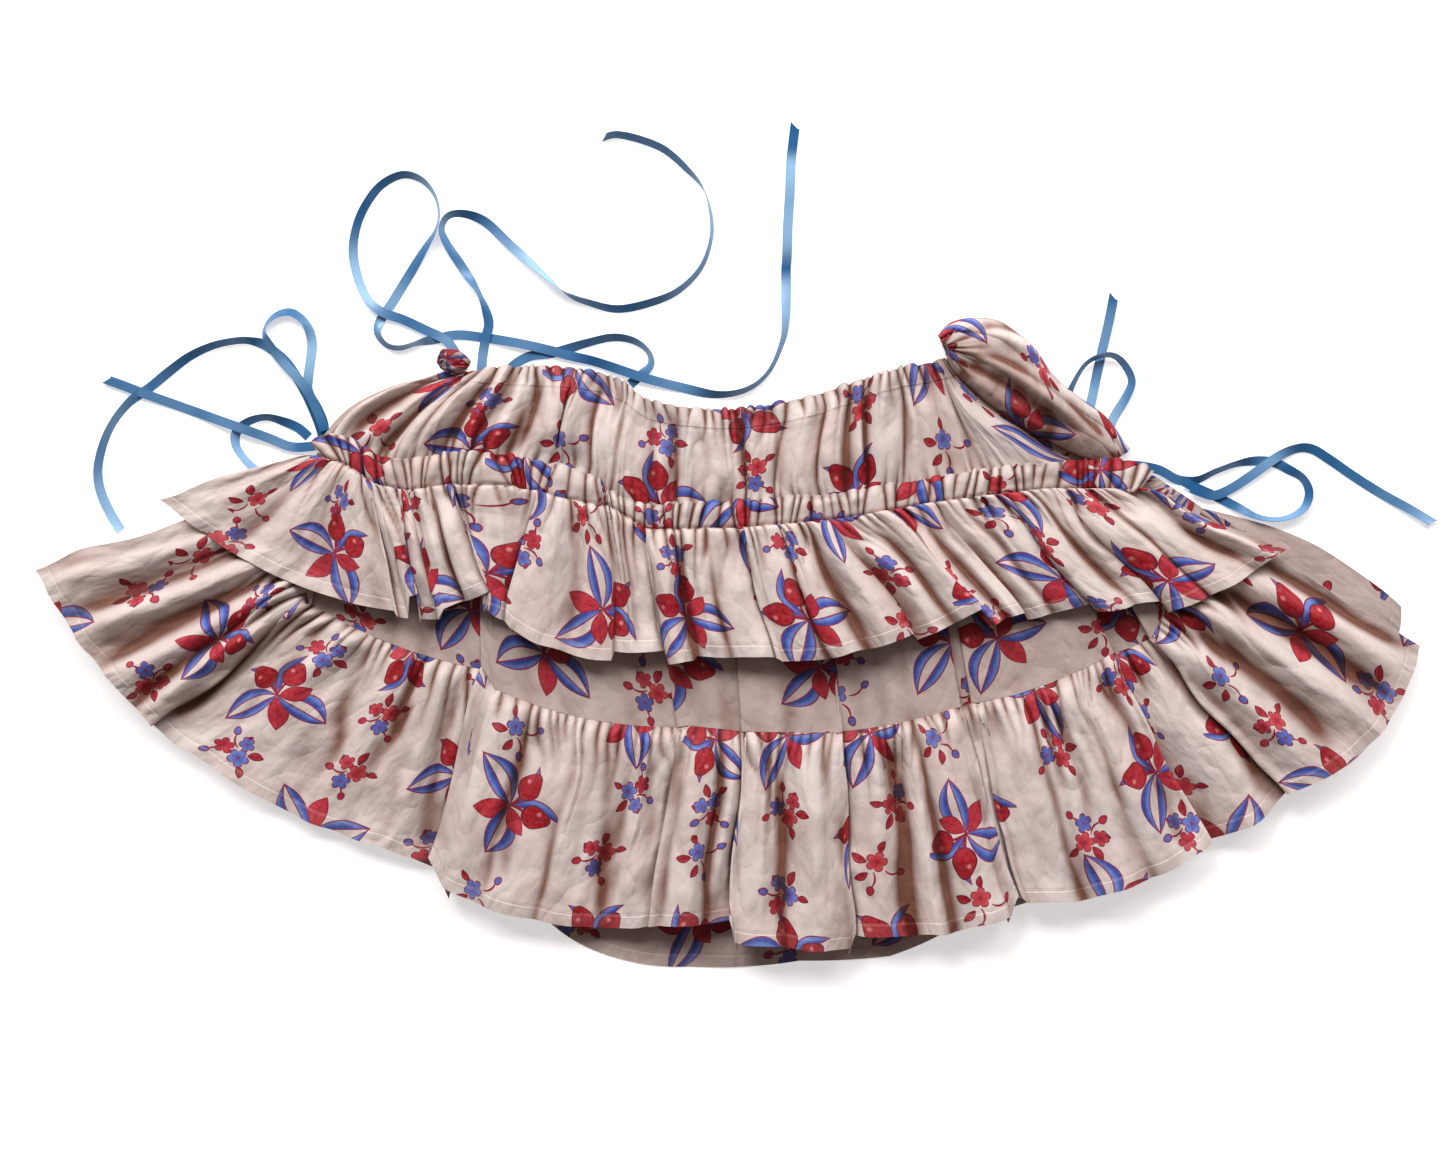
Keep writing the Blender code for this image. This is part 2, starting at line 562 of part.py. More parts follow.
def build():
    for old in list(bpy.data.objects):
        bpy.data.objects.remove(old, do_unlink=True)
    parts = bpy.data.collections.new("mini_skirt")
    bpy.context.scene.collection.children.link(parts)
    skirt = bpy.data.objects.new("skirt", None)
    parts.objects.link(skirt)
    cotton = material("printed_cotton", CREAM, 0.75)
    satin = material("satin_ribbon", RIBBON_BLUE, 0.35)

    def cloth(name, grid):
        return sheet(name, grid, CLOTH, 1.0, cotton, skirt)

    half = SEAM_GAP / 2
    back_ruffle = cloth("back_ruffle", panel_points(BACK_RUFFLE, BACK_RUFFLE_ROWS, BACK_STEPS))
    back_tier = cloth("back_tier", panel_points(BACK_TIER, BACK_TIER_ROWS, BACK_STEPS, 0, half))
    back_band = cloth("back_band", panel_points(band_sections(BACK_SEAM), BACK_BAND_ROWS, BACK_STEPS, half, half))
    back_flounce = cloth(
        "back_flounce", panel_points(flounce_sections(BACK_SEAM), BACK_FLOUNCE_ROWS, BACK_STEPS, half, 0)
    )
    backs = [back_ruffle, back_tier, back_band, back_flounce]

    tier_grid = panel_points(UPPER_TIER, UPPER_TIER_ROWS, FOLD_STEPS, 0, half)
    front_tier = cloth("front_tier", laid_over(tier_grid, backs))
    band_grid = panel_points(band_sections(SEAM), BAND_ROWS, 1, half, half)
    front_band = cloth("front_band", laid_over(band_grid, backs))
    flounce_grid = panel_points(flounce_sections(SEAM), FLOUNCE_ROWS, FOLD_STEPS, half, 0)
    front_flounce = cloth("front_flounce", laid_over(flounce_grid, backs))
    side_fold = cloth("right_side_fold", laid_over(side_fold_points(), [*backs, front_tier]))
    fronts = [front_tier, front_band, front_flounce, side_fold]

    ruffle_grid = panel_points(RUFFLE, RUFFLE_ROWS, FOLD_STEPS, RUFFLE_SEAM_GAP / 2, 0)
    cloth("front_ruffle", laid_over(ruffle_grid, fronts))
    casing_grid = panel_points(CASING, CASING_ROWS, CASING_STEPS, 0, RUFFLE_SEAM_GAP / 2)
    cloth("front_ruffle_casing", laid_over(casing_grid, fronts))
    casing_knot(cotton, skirt)

    for name, stops in RIBBONS.items():
        sheet(name, ribbon_points(stops), RIBBON_THICKNESS, 0.0, satin, skirt)


build()
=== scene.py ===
# %% [markdown]
# # A tiered mini skirt, laid flat and seen from above
# The skirt is cut from printed cotton and tied with narrow satin ribbon. Its solids are already packed,
# with every panel at its real size and place. This lesson dresses them: each cell makes one piece or one
# finish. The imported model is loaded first, because every piece is laid where its solid lies.

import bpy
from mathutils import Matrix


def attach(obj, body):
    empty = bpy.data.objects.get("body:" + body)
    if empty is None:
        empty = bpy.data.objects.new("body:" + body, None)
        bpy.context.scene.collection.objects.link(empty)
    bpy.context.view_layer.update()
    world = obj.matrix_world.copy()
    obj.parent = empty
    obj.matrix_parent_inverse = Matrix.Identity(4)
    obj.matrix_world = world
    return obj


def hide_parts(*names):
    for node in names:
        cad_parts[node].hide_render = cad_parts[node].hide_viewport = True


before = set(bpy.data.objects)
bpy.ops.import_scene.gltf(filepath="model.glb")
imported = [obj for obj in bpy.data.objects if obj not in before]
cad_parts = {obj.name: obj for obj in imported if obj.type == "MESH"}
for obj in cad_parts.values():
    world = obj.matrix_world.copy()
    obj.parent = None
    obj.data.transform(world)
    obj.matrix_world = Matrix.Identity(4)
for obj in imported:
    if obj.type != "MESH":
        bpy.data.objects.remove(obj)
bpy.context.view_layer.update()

# %% [markdown]
# ## Modules and units
# A sewing pattern is drawn in millimetres, and Blender's unit is the metre, so every size below is in
# millimetres and one number turns it into metres. All cloth rides on one body, as a skirt has no moving
# part.

# %% Modules and units
import math
import random
from collections import namedtuple

import bmesh
import bpy
import numpy as np
from mathutils import Matrix, Vector, noise
from mathutils.bvhtree import BVHTree

MM = 0.001
ROOT = "root"


def place_new(name, data):
    """A new object that shows in the scene."""
    made = bpy.data.objects.new(name, data)
    bpy.context.scene.collection.objects.link(made)
    return made


def table(kind, *rows):
    """Rows of plain numbers as named tuples of one kind."""
    return [kind(*row) for row in rows]


print("one millimetre is", MM, "in Blender's metres")

# %% [markdown]
# ## Camera
# The photograph looks straight down on the skirt, so the camera hangs over it with the waist at the top of
# the frame. A 50 mm lens on a 36 mm sensor sees a width of cloth set by its distance, so the distance is
# worked out from the width of cloth that the frame shows.

# %% Camera
PHOTO_SIZE = (1445, 1156)
PIXEL = 2 / 3 * MM
ORIGIN_PIXEL = (727.5, 642.5)
LENS = 50.0
SENSOR = 36.0

view_width = PHOTO_SIZE[0] * PIXEL
camera_height = view_width / SENSOR * LENS
camera_data = bpy.data.cameras.new("overhead")
camera_data.lens = LENS
camera_data.sensor_width = SENSOR
camera = place_new("overhead", camera_data)
camera.location = (
    (PHOTO_SIZE[0] / 2 - ORIGIN_PIXEL[0]) * PIXEL,
    (ORIGIN_PIXEL[1] - PHOTO_SIZE[1] / 2) * PIXEL,
    camera_height,
)
bpy.context.scene.camera = camera
bpy.context.scene.view_settings.view_transform = "Standard"
print("camera", round(camera_height, 3), "m up, sees", round(view_width, 3), "m across")

# %% [markdown]
# ## Node helpers
# Patterns on cloth are easier to build when a node is one line of Python. These helpers add a node, feed it
# either a number or another node's output, and hand back its result.


# %% Node helpers
def feed(tree, value, socket):
    """Links an output to this socket, or sets a plain value on it."""
    if isinstance(value, bpy.types.NodeSocket):
        tree.links.new(value, socket)
    else:
        socket.default_value = value


def feed_all(tree, node, *values, **named):
    """Feeds a node's inputs in order, or by name with an underscore for each space, and returns the node."""
    for value, socket in zip(values, node.inputs):
        feed(tree, value, socket)
    for label, value in named.items():
        feed(tree, value, node.inputs[label.replace("_", " ")])
    return node


def number(tree, operation, *values, clamp=False):
    node = tree.nodes.new("ShaderNodeMath")
    node.operation = operation
    node.use_clamp = clamp
    return feed_all(tree, node, *values).outputs[0]


def times(tree, a, b):
    return number(tree, "MULTIPLY", a, b)


def plus(tree, a, b):
    return number(tree, "ADD", a, b)


def less(tree, a, b):
    return number(tree, "SUBTRACT", a, b)


def without_sign(tree, a):
    return number(tree, "ABSOLUTE", a)


def vector(tree, operation, *values, **named):
    node = tree.nodes.new("ShaderNodeVectorMath")
    node.operation = operation
    return feed_all(tree, node, *values, **named).outputs["Value" if operation == "LENGTH" else "Vector"]


def split(tree, value):
    """A vector's three parts."""
    return tuple(feed_all(tree, tree.nodes.new("ShaderNodeSeparateXYZ"), value).outputs)


def joined(tree, x, y):
    return feed_all(tree, tree.nodes.new("ShaderNodeCombineXYZ"), x, y).outputs[0]


def turned(tree, place, angle):
    node = tree.nodes.new("ShaderNodeVectorRotate")
    node.rotation_type = "Z_AXIS"
    return feed_all(tree, node, Vector=place, Angle=angle).outputs[0]


def blend(tree, share, low, high):
    """Mixes two colours."""
    node = tree.nodes.new("ShaderNodeMix")
    node.data_type = "RGBA"
    feed_all(tree, node, Factor=share, A=low, B=high)
    return [out for out in node.outputs if out.type == "RGBA"][0]


def ramp(tree, value, from_low, from_high, to_low=0.0, to_high=1.0):
    """Carries a value softly from one range to another."""
    node = tree.nodes.new("ShaderNodeMapRange")
    node.interpolation_type = "SMOOTHSTEP"
    feed_all(tree, node, Value=value, From_Min=from_low, From_Max=from_high, To_Min=to_low, To_Max=to_high)
    return node.outputs["Result"]


def grain(tree, position, scale, detail=2.0, roughness=0.5):
    node = tree.nodes.new("ShaderNodeTexNoise")
    feed_all(tree, node, Vector=position, Scale=scale, Detail=detail, Roughness=roughness)
    return node.outputs["Fac"]


def uv_of(tree, name):
    node = tree.nodes.new("ShaderNodeUVMap")
    node.uv_map = name
    return node.outputs["UV"]


def bump(tree, height, strength, depth, **normal):
    """The normal of a relief this many millimetres deep, over another normal where one is given."""
    node = tree.nodes.new("ShaderNodeBump")
    feed_all(tree, node, Height=height, Strength=strength, Distance=depth * MM, **normal)
    return node.outputs["Normal"]


def new_group(name, inputs, *outputs):
    """A shader node group with named sockets, as its tree, its inputs and its output node. Each input has its
    first value, three numbers for a place. An output named Colour is one, and the others are numbers."""
    tree = bpy.data.node_groups.new(name, "ShaderNodeTree")
    for label, start in inputs.items():
        kind = "NodeSocketFloat" if isinstance(start, float) else "NodeSocketVector"
        tree.interface.new_socket(name=label, in_out="INPUT", socket_type=kind).default_value = start
    for label in outputs:
        kind = "NodeSocketColor" if label == "Colour" else "NodeSocketFloat"
        tree.interface.new_socket(name=label, in_out="OUTPUT", socket_type=kind)
    return tree, tree.nodes.new("NodeGroupInput").outputs, tree.nodes.new("NodeGroupOutput")


def use(tree, group, **values):
    """Places a group and feeds its inputs."""
    node = tree.nodes.new("ShaderNodeGroup")
    node.node_tree = group
    return feed_all(tree, node, **values)


def new_material(name):
    """A new material with its node tree and its shader."""
    made = bpy.data.materials.new(name)
    made.use_nodes = True
    return made, made.node_tree, made.node_tree.nodes["Principled BSDF"]


def colour(text):
    """A colour given as a web code, in the linear values that shaders take."""
    values = [int(text[i:i + 2], 16) / 255 for i in (0, 2, 4)]
    return (*[v / 12.92 if v <= 0.04045 else ((v + 0.055) / 1.055) ** 2.4 for v in values], 1.0)


WHITE = (1.0, 1.0, 1.0, 1.0)
HERE = (0, 0, 0)
print("half grey on a screen is", round(colour("808080")[0], 3), "of white in linear light")

# %% [markdown]
# ## Floor and light
# The skirt lies on a plain white surface under soft daylight from a broad window past the waist. A large
# area light is the window itself, and two soft suns stand for the sky seen through its left and right
# halves, so the folds of both wings are lit on their upper sides. A faint warm sky fills the shadows, as
# light does that has gone through cream cloth. The board glows a little, so that it stays white between the
# shadows.

# %% Floor and light
FLOOR_SIZE = 8.0
FLOOR_COLOUR = (0.93, 0.93, 0.935, 1.0)
FLOOR_GLOW = 0.5
SKY = (1.0, 0.84, 0.76, 1.0)
SKY_STRENGTH = 0.15
DAYLIGHT = (1.0, 0.99, 0.98)
Sun = namedtuple("Sun", "name towards angle strength")
SUNS = table(
    Sun, ("window_left", (0.72, -1.2, -0.86), 24.0, 1.65), ("window_right", (-0.8, -1.2, -0.86), 24.0, 0.9),
)
WINDOW_PLACE = (0.0, 1.15, 0.95)
WINDOW_SIZE = (1.5, 0.6)
WINDOW_POWER = 14.0


def mesh_from(name, work):
    """The mesh that a bmesh has become."""
    mesh = bpy.data.meshes.new(name)
    work.to_mesh(mesh)
    work.free()
    return mesh


def lamp(name, kind, towards, energy):
    light = bpy.data.lights.new(name, kind)
    light.energy = energy
    light.color = DAYLIGHT
    made = place_new(name, light)
    made.rotation_euler = Vector(towards).to_track_quat("-Z", "Y").to_euler()
    return made


floor_work = bmesh.new()
bmesh.ops.create_grid(floor_work, x_segments=1, y_segments=1, size=FLOOR_SIZE / 2)
floor_mesh = mesh_from("floor", floor_work)
board, board_tree, board_shader = new_material("white_board")
feed_all(board_tree, board_shader, Base_Color=FLOOR_COLOUR, Roughness=0.9, Specular_IOR_Level=0.1,
         Emission_Color=WHITE, Emission_Strength=FLOOR_GLOW)
floor_mesh.materials.append(board)
floor = place_new("floor", floor_mesh)

world = bpy.data.worlds.new("studio")
world.use_nodes = True
feed_all(world.node_tree, world.node_tree.nodes["Background"], Color=SKY, Strength=SKY_STRENGTH)
bpy.context.scene.world = world

for sun in SUNS:
    lamp(sun.name, "SUN", sun.towards, sun.strength).data.angle = math.radians(sun.angle)
window = lamp("window", "AREA", -Vector(WINDOW_PLACE), WINDOW_POWER)
window.location = WINDOW_PLACE
window.data.shape = "RECTANGLE"
window.data.size, window.data.size_y = WINDOW_SIZE
print("floor", FLOOR_SIZE, "m, suns:", [sun.name for sun in SUNS])

# %% [markdown]
# ## Satin for the ribbons
# Quarter inch satin ribbon is woven with long floating threads that run along it, so it shines in bands
# where it turns. Those bands are also painted into its colour: a painted highlight lightens the dark blue
# towards light blue where the ribbon faces the window, with random streaks through it. The weave is a fine
# stripe along the ribbon, drawn on its own UV map: U runs across the ribbon and V along it, both in metres.
# The colour is a little darker towards both edges, and the edges stand up slightly.

# %% Satin material
RIBBON_WIDTH = 6.35
RIBBON_RIB = 0.55
WOVEN_EDGE = (0.42, 0.47)
DRIFT_SCALE = 26.0
THREAD_SCALE = 4200.0
SATIN_ROUGHNESS = (0.3, 0.42)
# The satin's own colour, then the light blue of its painted highlight
RIBBON_DARK = colour("1C629A")
RIBBON_HIGHLIGHT = colour("A2CCF2")
SATIN_GLINT = (0.7, 0.86, 1.0, 1.0)


def satin_group():
    tree, given, out = new_group(
        "ribbon weave", {"Place": HERE, "Pale": 0.2, "Width": RIBBON_WIDTH * MM},
        "Colour", "Height", "Roughness",
    )
    across, along, _ = split(tree, given["Place"])
    from_middle = without_sign(tree, less(tree, number(tree, "DIVIDE", across, given["Width"]), 0.5))
    edge = ramp(tree, from_middle, *WOVEN_EDGE)
    drift = grain(tree, joined(tree, times(tree, across, 0.4), along), DRIFT_SCALE, 1.5)
    threads = grain(tree, joined(tree, across, times(tree, along, 0.03)), THREAD_SCALE, 1.0)
    # Painted highlight: the colour is lightened from dark to light blue where the ribbon faces the window,
    # with random streaks
    painted_highlight = number(tree, "ADD", given["Pale"], ramp(tree, drift, 0.3, 0.7, -0.06, 0.1), clamp=True)
    base = blend(tree, painted_highlight, RIBBON_DARK, RIBBON_HIGHLIGHT)
    # The colour is a little darker towards both edges
    base = blend(tree, times(tree, edge, 0.3), base, RIBBON_DARK)
    ribs = number(tree, "SINE", times(tree, along, 2 * math.pi / (RIBBON_RIB * MM)))
    height = plus(tree, times(tree, edge, 0.1), times(tree, threads, 0.3))
    height = plus(tree, height, times(tree, ribs, 0.08))
    roughness = ramp(tree, threads, 0.3, 0.7, *SATIN_ROUGHNESS)
    feed_all(tree, out, Colour=base, Height=height, Roughness=roughness)
    return tree


satin, satin_tree, satin_shader = new_material("blue_satin")
# Each ring's painted highlight, read from the shade map
satin_highlight = split(satin_tree, uv_of(satin_tree, "shade"))[0]
satin_weave = use(satin_tree, satin_group(), Place=uv_of(satin_tree, "along"), Pale=satin_highlight).outputs
satin_across = satin_tree.nodes.new("ShaderNodeTangent")
satin_across.direction_type = "UV_MAP"
satin_across.uv_map = "along"
feed_all(
    satin_tree, satin_shader, Base_Color=satin_weave["Colour"], Roughness=satin_weave["Roughness"],
    Normal=bump(satin_tree, satin_weave["Height"], 0.25, 0.1), Tangent=satin_across.outputs["Tangent"],
    Specular_IOR_Level=0.9, Specular_Tint=SATIN_GLINT, Anisotropic=0.6,
    Sheen_Weight=0.03, Sheen_Roughness=0.35,
)
print("satin has", len(satin_tree.nodes), "nodes")

# %% [markdown]
# ## Ribbon routes
# The ribbons are a real length of something limp, so each is a strip along one smooth curve. The stops were
# chosen along the way that each ribbon lies, in millimetres. A stop also says how many ribbons it
# lies over and how far it is turned on edge, because a ribbon that curves on a table stands partly on its
# edge: a turn above zero raises its left edge, and one past a right angle shows its other face. The last
# number is the painted highlight there: how far the satin's colour is lightened where it faces the window.

# %% Ribbon routes
RIBBON_THICKNESS = 0.8
RIBBON_WALL = 0.25
RIBBON_RING_SPACING = 2.5
RIBBON_LEVEL = 1.4
RIBBON_UNDERSIDE = 0.1
RIBBON_CROWN = 0.02
RIBBON_ACROSS = 4
RIBBON_SLANT = 2.6
# The last field is how far painted highlight lightens the satin's colour at this stop
Stop = namedtuple("Stop", "x y over turn pale", defaults=(0, 0, 0))

ROUTES = {
    "ribbon_waist_long": [
        (-180, 191, 2.4, 0, 0.2), (-187, 201, 1.4, 0, 0.45), (-201, 208, 1.2, 0, 0.1),
        (-216, 215, 1, 0, 0.05), (-230, 220, 1, 8, 0.15), (-239, 228, 0.4, 32, 0.6),
        (-245, 240, 0, 32, 0.95), (-249, 257, 0, 30, 0.7), (-248, 272, 0, 40, 0.15), (-243, 287, 0, 42),
        (-233, 302, 0, 45), (-221, 310, 0, 48), (-211, 311, 0, 50, 0.05), (-201, 306, 0, 60, 0.35),
        (-194, 296, 0, 70, 0.65), (-192, 285, 0, 72, 0.5), (-194, 275, 0, 66, 0.15),
        (-201, 263, 0, 38, 0.05), (-212, 245, 0, 0, 0.15), (-223, 227, 0.4, 0, 0.65),
        (-231, 215, 0, 0, 0.5), (-233, 206, 0, 42, 0.25), (-227, 198, 0, 58), (-218, 196, 0, 64, 0.2),
        (-207, 199, 0, 66, 0.6), (-195, 202, 0, 15, 0.25), (-180, 205, 0, 0, 0.1), (-161, 203, 0, 0, 0.05),
        (-138, 199, 1, -8, 0.1), (-120, 195, 1, 0, 0.1), (-105, 191, 1, 0, 0.1), (-88, 187, 0.6, 20, 0.05),
        (-67, 180, 1.4), (-55, 176, 1.4, 0, 0.1), (-31, 170, 0, 0, 0.25), (-6, 165, 0, 45, 0.05),
        (14, 169, 0, 62, 0.25), (28, 181, 0, 68, 0.1), (36.5, 200, 0.6, 58, 0.35),
        (38.5, 213, 1.8, 36, 0.8), (39, 234, 0.8, 6, 0.85), (39, 243, 0.2, 0, 0.4), (39, 249, 0, 0, 0.02),
        (39.5, 256, 0.8, 0, 0.3), (39.7, 262, 1.8, 0, 0.6), (40, 276, 2.4, 0, 0.75),
        (41, 292, 1.8, 0, 0.55), (41.6, 302, 1.4, 0, 0.65), (42, 315, 0.8, 0, 0.75),
        (42.6, 324, 0.1, 0, 0.3), (43.3, 330), (45, 344, 0.6),
    ],
    "ribbon_waist_short": [
        (-164, 181, 0, 0, 0.3), (-163, 192, 0, 0, 0.55), (-161, 203, 1, 0, 0.1), (-159, 214, 0.6, 10, 0.05),
        (-165, 232, 0, 66, 0.05), (-176, 249, 0, 10, 0.15), (-187, 266, 0.5, 38, 0.2),
        (-190, 276, 1, 62, 0.4), (-185, 284, 1, 58, 0.1), (-174, 285, 0.5, 42), (-161, 280, 0, 10, 0.1),
        (-146, 266, 0, -12, 0.25), (-138, 259, 0, -20, 0.45), (-129, 251, 0, -40, 0.8),
        (-119, 242, 0, -58, 0.9), (-110, 234, 0, -90, 0.6), (-103, 230, 0, -112, 0.1), (-95, 227, 0, -122),
        (-74, 222, 0, -137), (-52, 226, 0, -137, 0.05), (-33, 234, 0, -124, 0.1), (-18, 249, 0, -114, 0.15),
        (-11, 268, 0, -108, 0.35), (-11, 285, 0, -107, 0.35), (-16, 302, 0, -90, 0.2), (-27, 315, 0, -60),
        (-42, 328, 0, -52), (-59, 335, 0, -50, 0.05), (-74, 338, 0, -54, 0.05), (-82, 336, 0, -62, 0.05),
    ],
    "ribbon_waist_loop": [
        (-148, 179), (-141, 186, 0, 0, 0.2), (-131, 191, 0, 0, 0.1), (-116, 193, 0, 0, 0.05),
        (-95, 199, 0, 36, 0.1), (-77, 203, 0, 42, 0.1), (-63, 201, 0, 50, 0.05), (-53, 194, 0, 62, 0.4),
        (-51, 185, 0, 42, 0.3), (-58, 178, 0, 0, 0.1), (-65, 172),
    ],
    "ribbon_left_loop": [
        (-268, 136, 1), (-269, 146, 1), (-273, 156, 1, 0, 0.05), (-279, 167, 1, 0, 0.3),
        (-279, 176, 1.6, 0, 0.6), (-277, 192, 1, 0, 0.85), (-277, 202, 0.2, 8, 0.6),
        (-281, 213, 0, 42, 0.2), (-291, 220, 0, 32), (-302, 217, 0, 48, 0.05), (-308, 208, 1, 62, 0.15),
        (-305, 199, 2, 28, 0.2), (-296, 187, 2, 0, 0.35), (-285, 175, 2.4, 0, 0.4),
        (-277, 163, 2.6, 0, 0.1), (-271, 150, 2.6, 0, 0.05), (-268, 141, 2.6),
    ],
    "ribbon_left_long": [
        (-270, 138, 0, 0, 0.05), (-273, 148, 0, 0, 0.05), (-282, 168, 0, 0, 0.1), (-294, 187, 0, 0, 0.1),
        (-308, 198, 0, 0, 0.1), (-316, 200.5, 0, -38, 0.05), (-325, 201, 0, -52), (-341, 198, 0, -50),
        (-357, 191, 0, -40), (-371, 181, 0, -26, 0.1), (-385, 170, 0, 0, 0.1), (-398, 160, 0, -42, 0.25),
        (-409, 146, 0, -56, 0.35), (-416, 130, 0, -50, 0.3), (-419, 114, 0, -42, 0.4),
        (-417, 100, 0, -30, 0.6), (-411, 86, 0, -10, 0.9), (-404, 75, 0, -30, 0.6),
    ],
    "ribbon_left_end": [
        (-274, 131, 1.2, 0, 0.1), (-285, 130, 1.2, 0, 0.1), (-293, 131, 1.2, 0, 0.35),
        (-305, 136, 1.4, 0, 0.25), (-319, 141, 2.4, 0, 0.15), (-333, 146, 2, 0, 0.2),
        (-347, 151, 0.6, 0, 0.15), (-361, 156, 0, 0, 0.2), (-375, 161, 0.4, 0, 0.2),
        (-389, 166, 1, 0, 0.15), (-402, 171, 1, 0, 0.1), (-413, 175, 0.8),
    ],
    "ribbon_left_curl": [
        (-279, 137), (-286, 143, 0, 0, 0.05), (-295, 147, 0, -25, 0.05), (-307, 150, 0, -50),
        (-319, 147, 0, -42, 0.1), (-327, 140, 0, -22, 0.3), (-327, 131, 0, -44, 0.5),
        (-321, 122, 0, -50, 0.6), (-313, 114, 0, -40, 0.5), (-308, 108, 0, -20, 0.4),
    ],
    "ribbon_right_end": [
        (240, 150, 0, 0, 0.8), (243, 164, 0.5, 0, 0.75), (246, 178, 0, 0, 0.25), (250, 196, 0, 0, 0.4),
        (254, 214, 0.8, 0, 0.3), (257, 230, 1.4, 0, 0.05),
    ],
    "ribbon_right_curl": [
        (226, 160, 0, 20), (229, 170, 0, 50, 0.1), (237, 184, 0.6, 60, 0.15), (246, 190, 1, 64, 0.1),
        (256, 191, 0.8, 62, 0.1), (264, 185, 0, 54), (269, 174, 0, 50, 0.05), (265, 163, 0, 30, 0.25),
        (258, 151, 0, 0, 0.8), (254, 142, 0, 0, 0.9),
    ],
    "ribbon_right_loop": [
        (267, 118, 3.2), (277, 117, 3.2), (288, 114.5, 1.8, 0, 0.1), (300, 108.5, 0.1, 0, 0.05),
        (312, 108, 0, 35), (325, 114, 0, 52), (339, 119, 0, 50, 0.05), (352, 121, 0, 15, 0.1),
        (364, 120, 0, 0, 0.1), (374, 115, 0, 25), (383, 109, 0, 50, 0.1), (387, 100, 0, 45),
        (384, 90, 0, 48, 0.15), (375, 84, 0, 60, 0.4), (364, 82, 0, 60, 0.35), (352, 84, 0, 48, 0.1),
        (338, 91, 0, 12), (324, 98), (312, 103, 1), (304, 107, 1.2),
    ],
    "ribbon_right_long": [
        (308, 103, 2.4), (315, 100, 2.2, 0, 0.05), (324, 98, 1.6, 0, 0.1), (336, 103, 1.2, 0, 0.15),
        (351, 113, 1.2, -6, 0.25), (365, 123, 1.2, -6, 0.3), (378, 129, 0.4, 25, 0.1), (389, 129, 0, 12),
        (401, 122, 0, 8, 0.02), (417, 111, 0, 0, 0.05), (436, 99, 0, 0, 0.15), (454, 89, 0.4, -10, 0.3),
        (469, 80, 0.8, -20, 0.5),
    ],
}

# Ribbons whose far end goes back into the skirt or under it
HELD_AT_BOTH_ENDS = {
    "ribbon_waist_loop", "ribbon_left_loop", "ribbon_left_long", "ribbon_left_curl", "ribbon_right_curl",
    "ribbon_right_loop",
}


def curve_between(values, share):
    before, start, end, after = values
    return 0.5 * (
        2 * start
        + (end - before) * share
        + (2 * before - 5 * start + 4 * end - after) * share**2
        + (3 * start - before - 3 * end + after) * share**3
    )


def ribbon_centre(stops):
    """Points close together on a smooth curve through the stops, as x, y, over, turn and painted highlight.
    """
    ends = [stops[0], *stops, stops[-1]]
    centre = []
    for before, start, end, after in zip(ends, ends[1:], ends[2:], ends[3:]):
        count = max(1, round(math.dist(start[:2], end[:2]) / RIBBON_RING_SPACING))
        for step in range(count):
            centre.append([curve_between(values, step / count) for values in zip(before, start, end, after)])
    return [*centre, list(stops[-1])]


def ribbon_rings(stops, slanted):
    """Rings across the ribbon from edge to edge, its centreline in metres, and each ring's painted highlight.
    """
    centre = ribbon_centre(stops)
    rings = []
    path = []
    for index, (x, y, over, turn, _) in enumerate(centre):
        ahead = centre[min(index + 1, len(centre) - 1)]
        behind = centre[max(index - 1, 0)]
        way = Vector((ahead[0] - behind[0], ahead[1] - behind[1], 0)).normalized()
        angle = math.radians(turn)
        side = Vector((-way.y * math.cos(angle), way.x * math.cos(angle), math.sin(angle))) * RIBBON_WIDTH / 2
        up = way.cross(side).normalized()
        up = -up if up.z < 0 else up
        half_high = RIBBON_THICKNESS / 2 * abs(math.cos(angle))
        height = RIBBON_UNDERSIDE + half_high + abs(side.z) + RIBBON_LEVEL * over
        place = Vector((x, y, height))
        path.append(place * MM)
        ring = []
        for step in range(RIBBON_ACROSS + 1):
            share = step / RIBBON_ACROSS * 2 - 1
            slant = way * RIBBON_SLANT * share if slanted and index == len(centre) - 1 else Vector()
            ring.append((place + side * share + up * RIBBON_CROWN * (1 - share * share) + slant) * MM)
        rings.append(ring)
    return rings, path, [min(max(point[4], 0), 1) for point in centre]


print("ribbons:", len(ROUTES))

# %% [markdown]
# ## Laying the ribbons
# A ribbon starts as a grid with one column for each ring, and its points are then moved onto the rings.
# Solidify gives the thin wall, and each one's length is measured along the curve, so the whole length of
# ribbon that shows is really there.


# %% Lay the ribbons
def read_all(items, name, width=1, kind=float):
    """One value of every vertex, edge or corner of a mesh, as an array."""
    values = np.empty(len(items) * width, kind)
    items.foreach_get(name, values)
    return values


